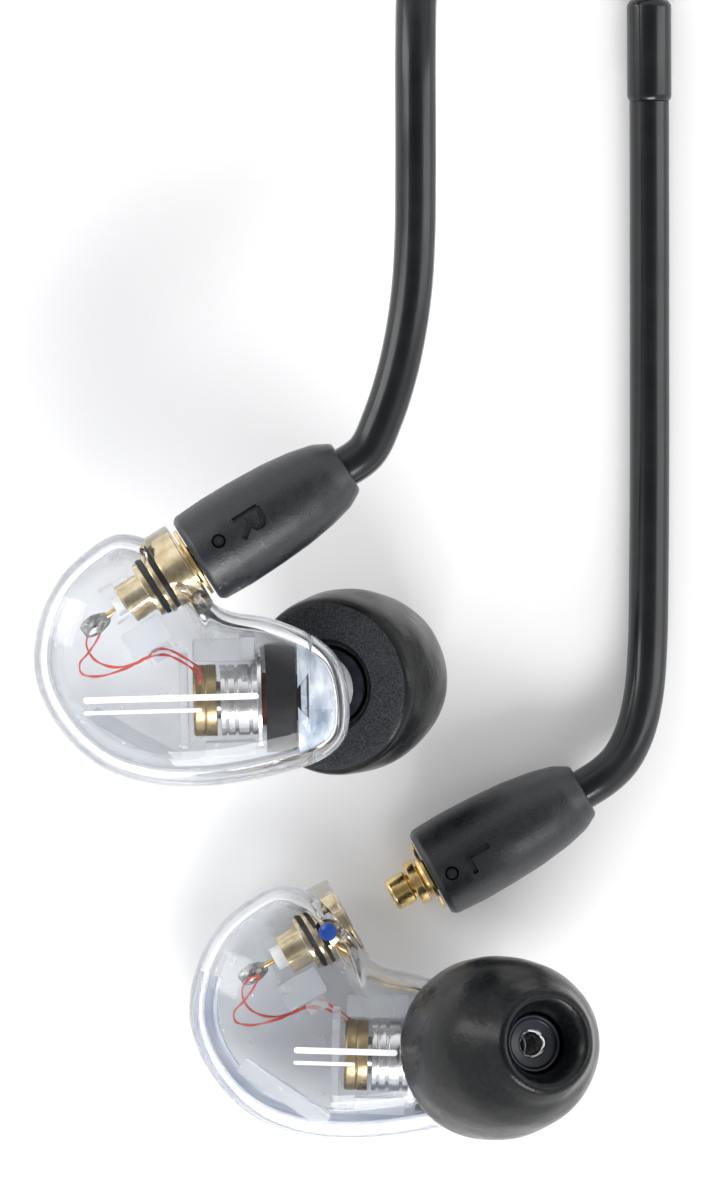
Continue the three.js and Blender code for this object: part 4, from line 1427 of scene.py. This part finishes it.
def boot_radius(y):
    """The boot's outer radius at a distance from its front face."""
    outer = BOOT_PROFILE[2:11]
    for (r0, h0), (r1, h1) in zip(outer, outer[1:]):
        if h0 <= y <= h1:
            return r0 + (r1 - r0) * (y - h0) / (h1 - h0)
    return outer[-1][0]


def boot_top(x, y):
    """The height of the boot's upper face."""
    return math.sqrt(max(boot_radius(y) ** 2 - x * x, 0.0))


def stroke_tool(points, centre, width=0.46, depth=0.3):
    """A channel cutter that follows the boot's surface along a stroke."""
    path = [Vector((x + centre[0], y + centre[1])) for x, y in points]
    dense = []
    for a, b in zip(path, path[1:]):
        steps = max(2, int((b - a).length / 0.12))
        dense += [a.lerp(b, i / steps) for i in range(steps)]
    dense.append(path[-1])
    loops = []
    for i, point in enumerate(dense):
        along = (dense[min(i + 1, len(dense) - 1)] - dense[max(i - 1, 0)]).normalized()
        across = Vector((along.y, -along.x))
        loop = []
        for aside, above in ((-0.4, 0), (-0.5, 1), (0.5, 1), (0.4, 0)):
            at = point + across * aside * width
            lift = 0.5 if above else -depth
            loop.append((at.x, at.y, boot_top(at.x, at.y) + lift))
        loops.append(loop)
    return loft(loops)


def boot_solid(side):
    """The boot with its side letter and a dimple sunk in."""
    profile = rounded(BOOT_PROFILE, 0.3, 4)
    boot = solid("boot", turned(profile, 112))
    x, y = DIMPLE_AT[side]
    dimple = turned([(0, -0.28), (0.36, -0.3), (0.48, -0.42), (0.56, 0.6), (0, 0.6)], 40)
    upright = Matrix.Translation((x, y, boot_top(x, y) - 0.02)) @ Matrix.Rotation(math.pi / 2, 4, "X")
    strokes = [solid("stroke", stroke_tool(stroke, LETTER_AT[side])) for stroke in LETTER_STROKES[side]]
    return combined(boot, "DIFFERENCE", solid("dimple_tool", dimple, upright), *strokes)


def add_connector(side):
    place = connector_matrix(side)
    boot = boot_solid(side)
    place_solid(f"{side}_boot_moulding", boot, place, "boot", "cable", [f"{side}_boot"])
    discard(boot)
    for name, (profile, corner, material, slot) in PLUG_PARTS.items():
        shape = turned(rounded(profile, corner), 64)
        add_piece(f"{side}_{name}_turned", shape, place, material, "cable", [f"{side}_{name}"])
    ring = turned(rounded(pipe(1.65, 1.35, -1.45, -0.75), 0.12), 64)
    name = f"{side}_snap_ring"
    add_piece(f"{name}_turned", ring, place, "gold", name, [name])


# ---------------------------------------------------------------- surroundings

def add_floor():
    mesh = bpy.data.meshes.new("floor")
    reach = 3.0
    corners = [(-reach, -reach, 0), (reach, -reach, 0), (reach, reach, 0), (-reach, reach, 0)]
    mesh.from_pydata(corners, [], [(0, 1, 2, 3)])
    surface = Surface("floor", (0.96, 0.96, 0.96), 0.7, Specular_IOR_Level=0.1)
    surface.vary_color(surface.noise(0.002, 2), (0.955, 0.955, 0.96), (0.965, 0.965, 0.965))
    mesh.materials.append(surface.material)
    floor = bpy.data.objects.new("floor", mesh)
    bpy.context.scene.collection.objects.link(floor)


def add_soft_light(name, location, target, size, power):
    data = bpy.data.lights.new(name, "AREA")
    data.shape = "RECTANGLE"
    data.size, data.size_y = size
    data.energy = power
    light = bpy.data.objects.new(name, data)
    light.location = location
    direction = Vector(target) - Vector(location)
    light.rotation_euler = direction.to_track_quat("-Z", "Y").to_euler()
    bpy.context.scene.collection.objects.link(light)


WORLD_STRENGTH = 1.05
# How bright the tent is from the horizon (0) to straight overhead (1), by the sine of elevation.
WORLD_LEVELS = ((0.0, 0.75), (0.1, 1.0), (0.55, 1.15), (0.75, 0.8), (0.9, 0.3), (1.0, 0.2))

# name: (place in metres, width and height in metres, watts)
SOFT_LIGHTS = {
    "key": ((0.15, -0.75, 0.62), (0.6, 0.3), 6.5),
    "left strip": ((-0.8, 0.3, 0.45), (0.3, 0.7), 2.5),
    "right strip": ((0.85, 0.1, 0.3), (0.2, 0.9), 1.5),
}


def add_world():
    """A white tent that is dimmer straight overhead, where the camera looks in."""
    world = bpy.data.worlds.new("studio")
    world.use_nodes = True
    nodes, links = world.node_tree.nodes, world.node_tree.links
    background = nodes["Background"]
    background.inputs["Strength"].default_value = WORLD_STRENGTH
    separate = nodes.new("ShaderNodeSeparateXYZ")
    links.new(nodes.new("ShaderNodeTexCoord").outputs["Generated"], separate.inputs["Vector"])
    ramp = nodes.new("ShaderNodeValToRGB")
    elements = ramp.color_ramp.elements
    while len(elements) < len(WORLD_LEVELS):
        elements.new(0.5)
    for element, (position, level) in zip(elements, WORLD_LEVELS):
        element.position = position
        element.color = (level, level, level * 1.01, 1)
    links.new(separate.outputs["Z"], ramp.inputs["Fac"])
    links.new(ramp.outputs["Color"], background.inputs["Color"])
    bpy.context.scene.world = world


def add_studio():
    add_floor()
    add_world()
    middle = (0.0, 0.02, 0.0)
    for name, (location, size, power) in SOFT_LIGHTS.items():
        add_soft_light(name, location, middle, size, power)
    settings = bpy.context.scene.view_settings
    settings.view_transform = "Standard"
    settings.look = "None"
    settings.exposure = 0.0


build_bodies()
for ear_side in SIDES:
    add_print(ear_side)
    add_inner_parts(ear_side)
    add_tip(ear_side)
    add_connector(ear_side)
add_studio()

bpy.context.view_layer.update()
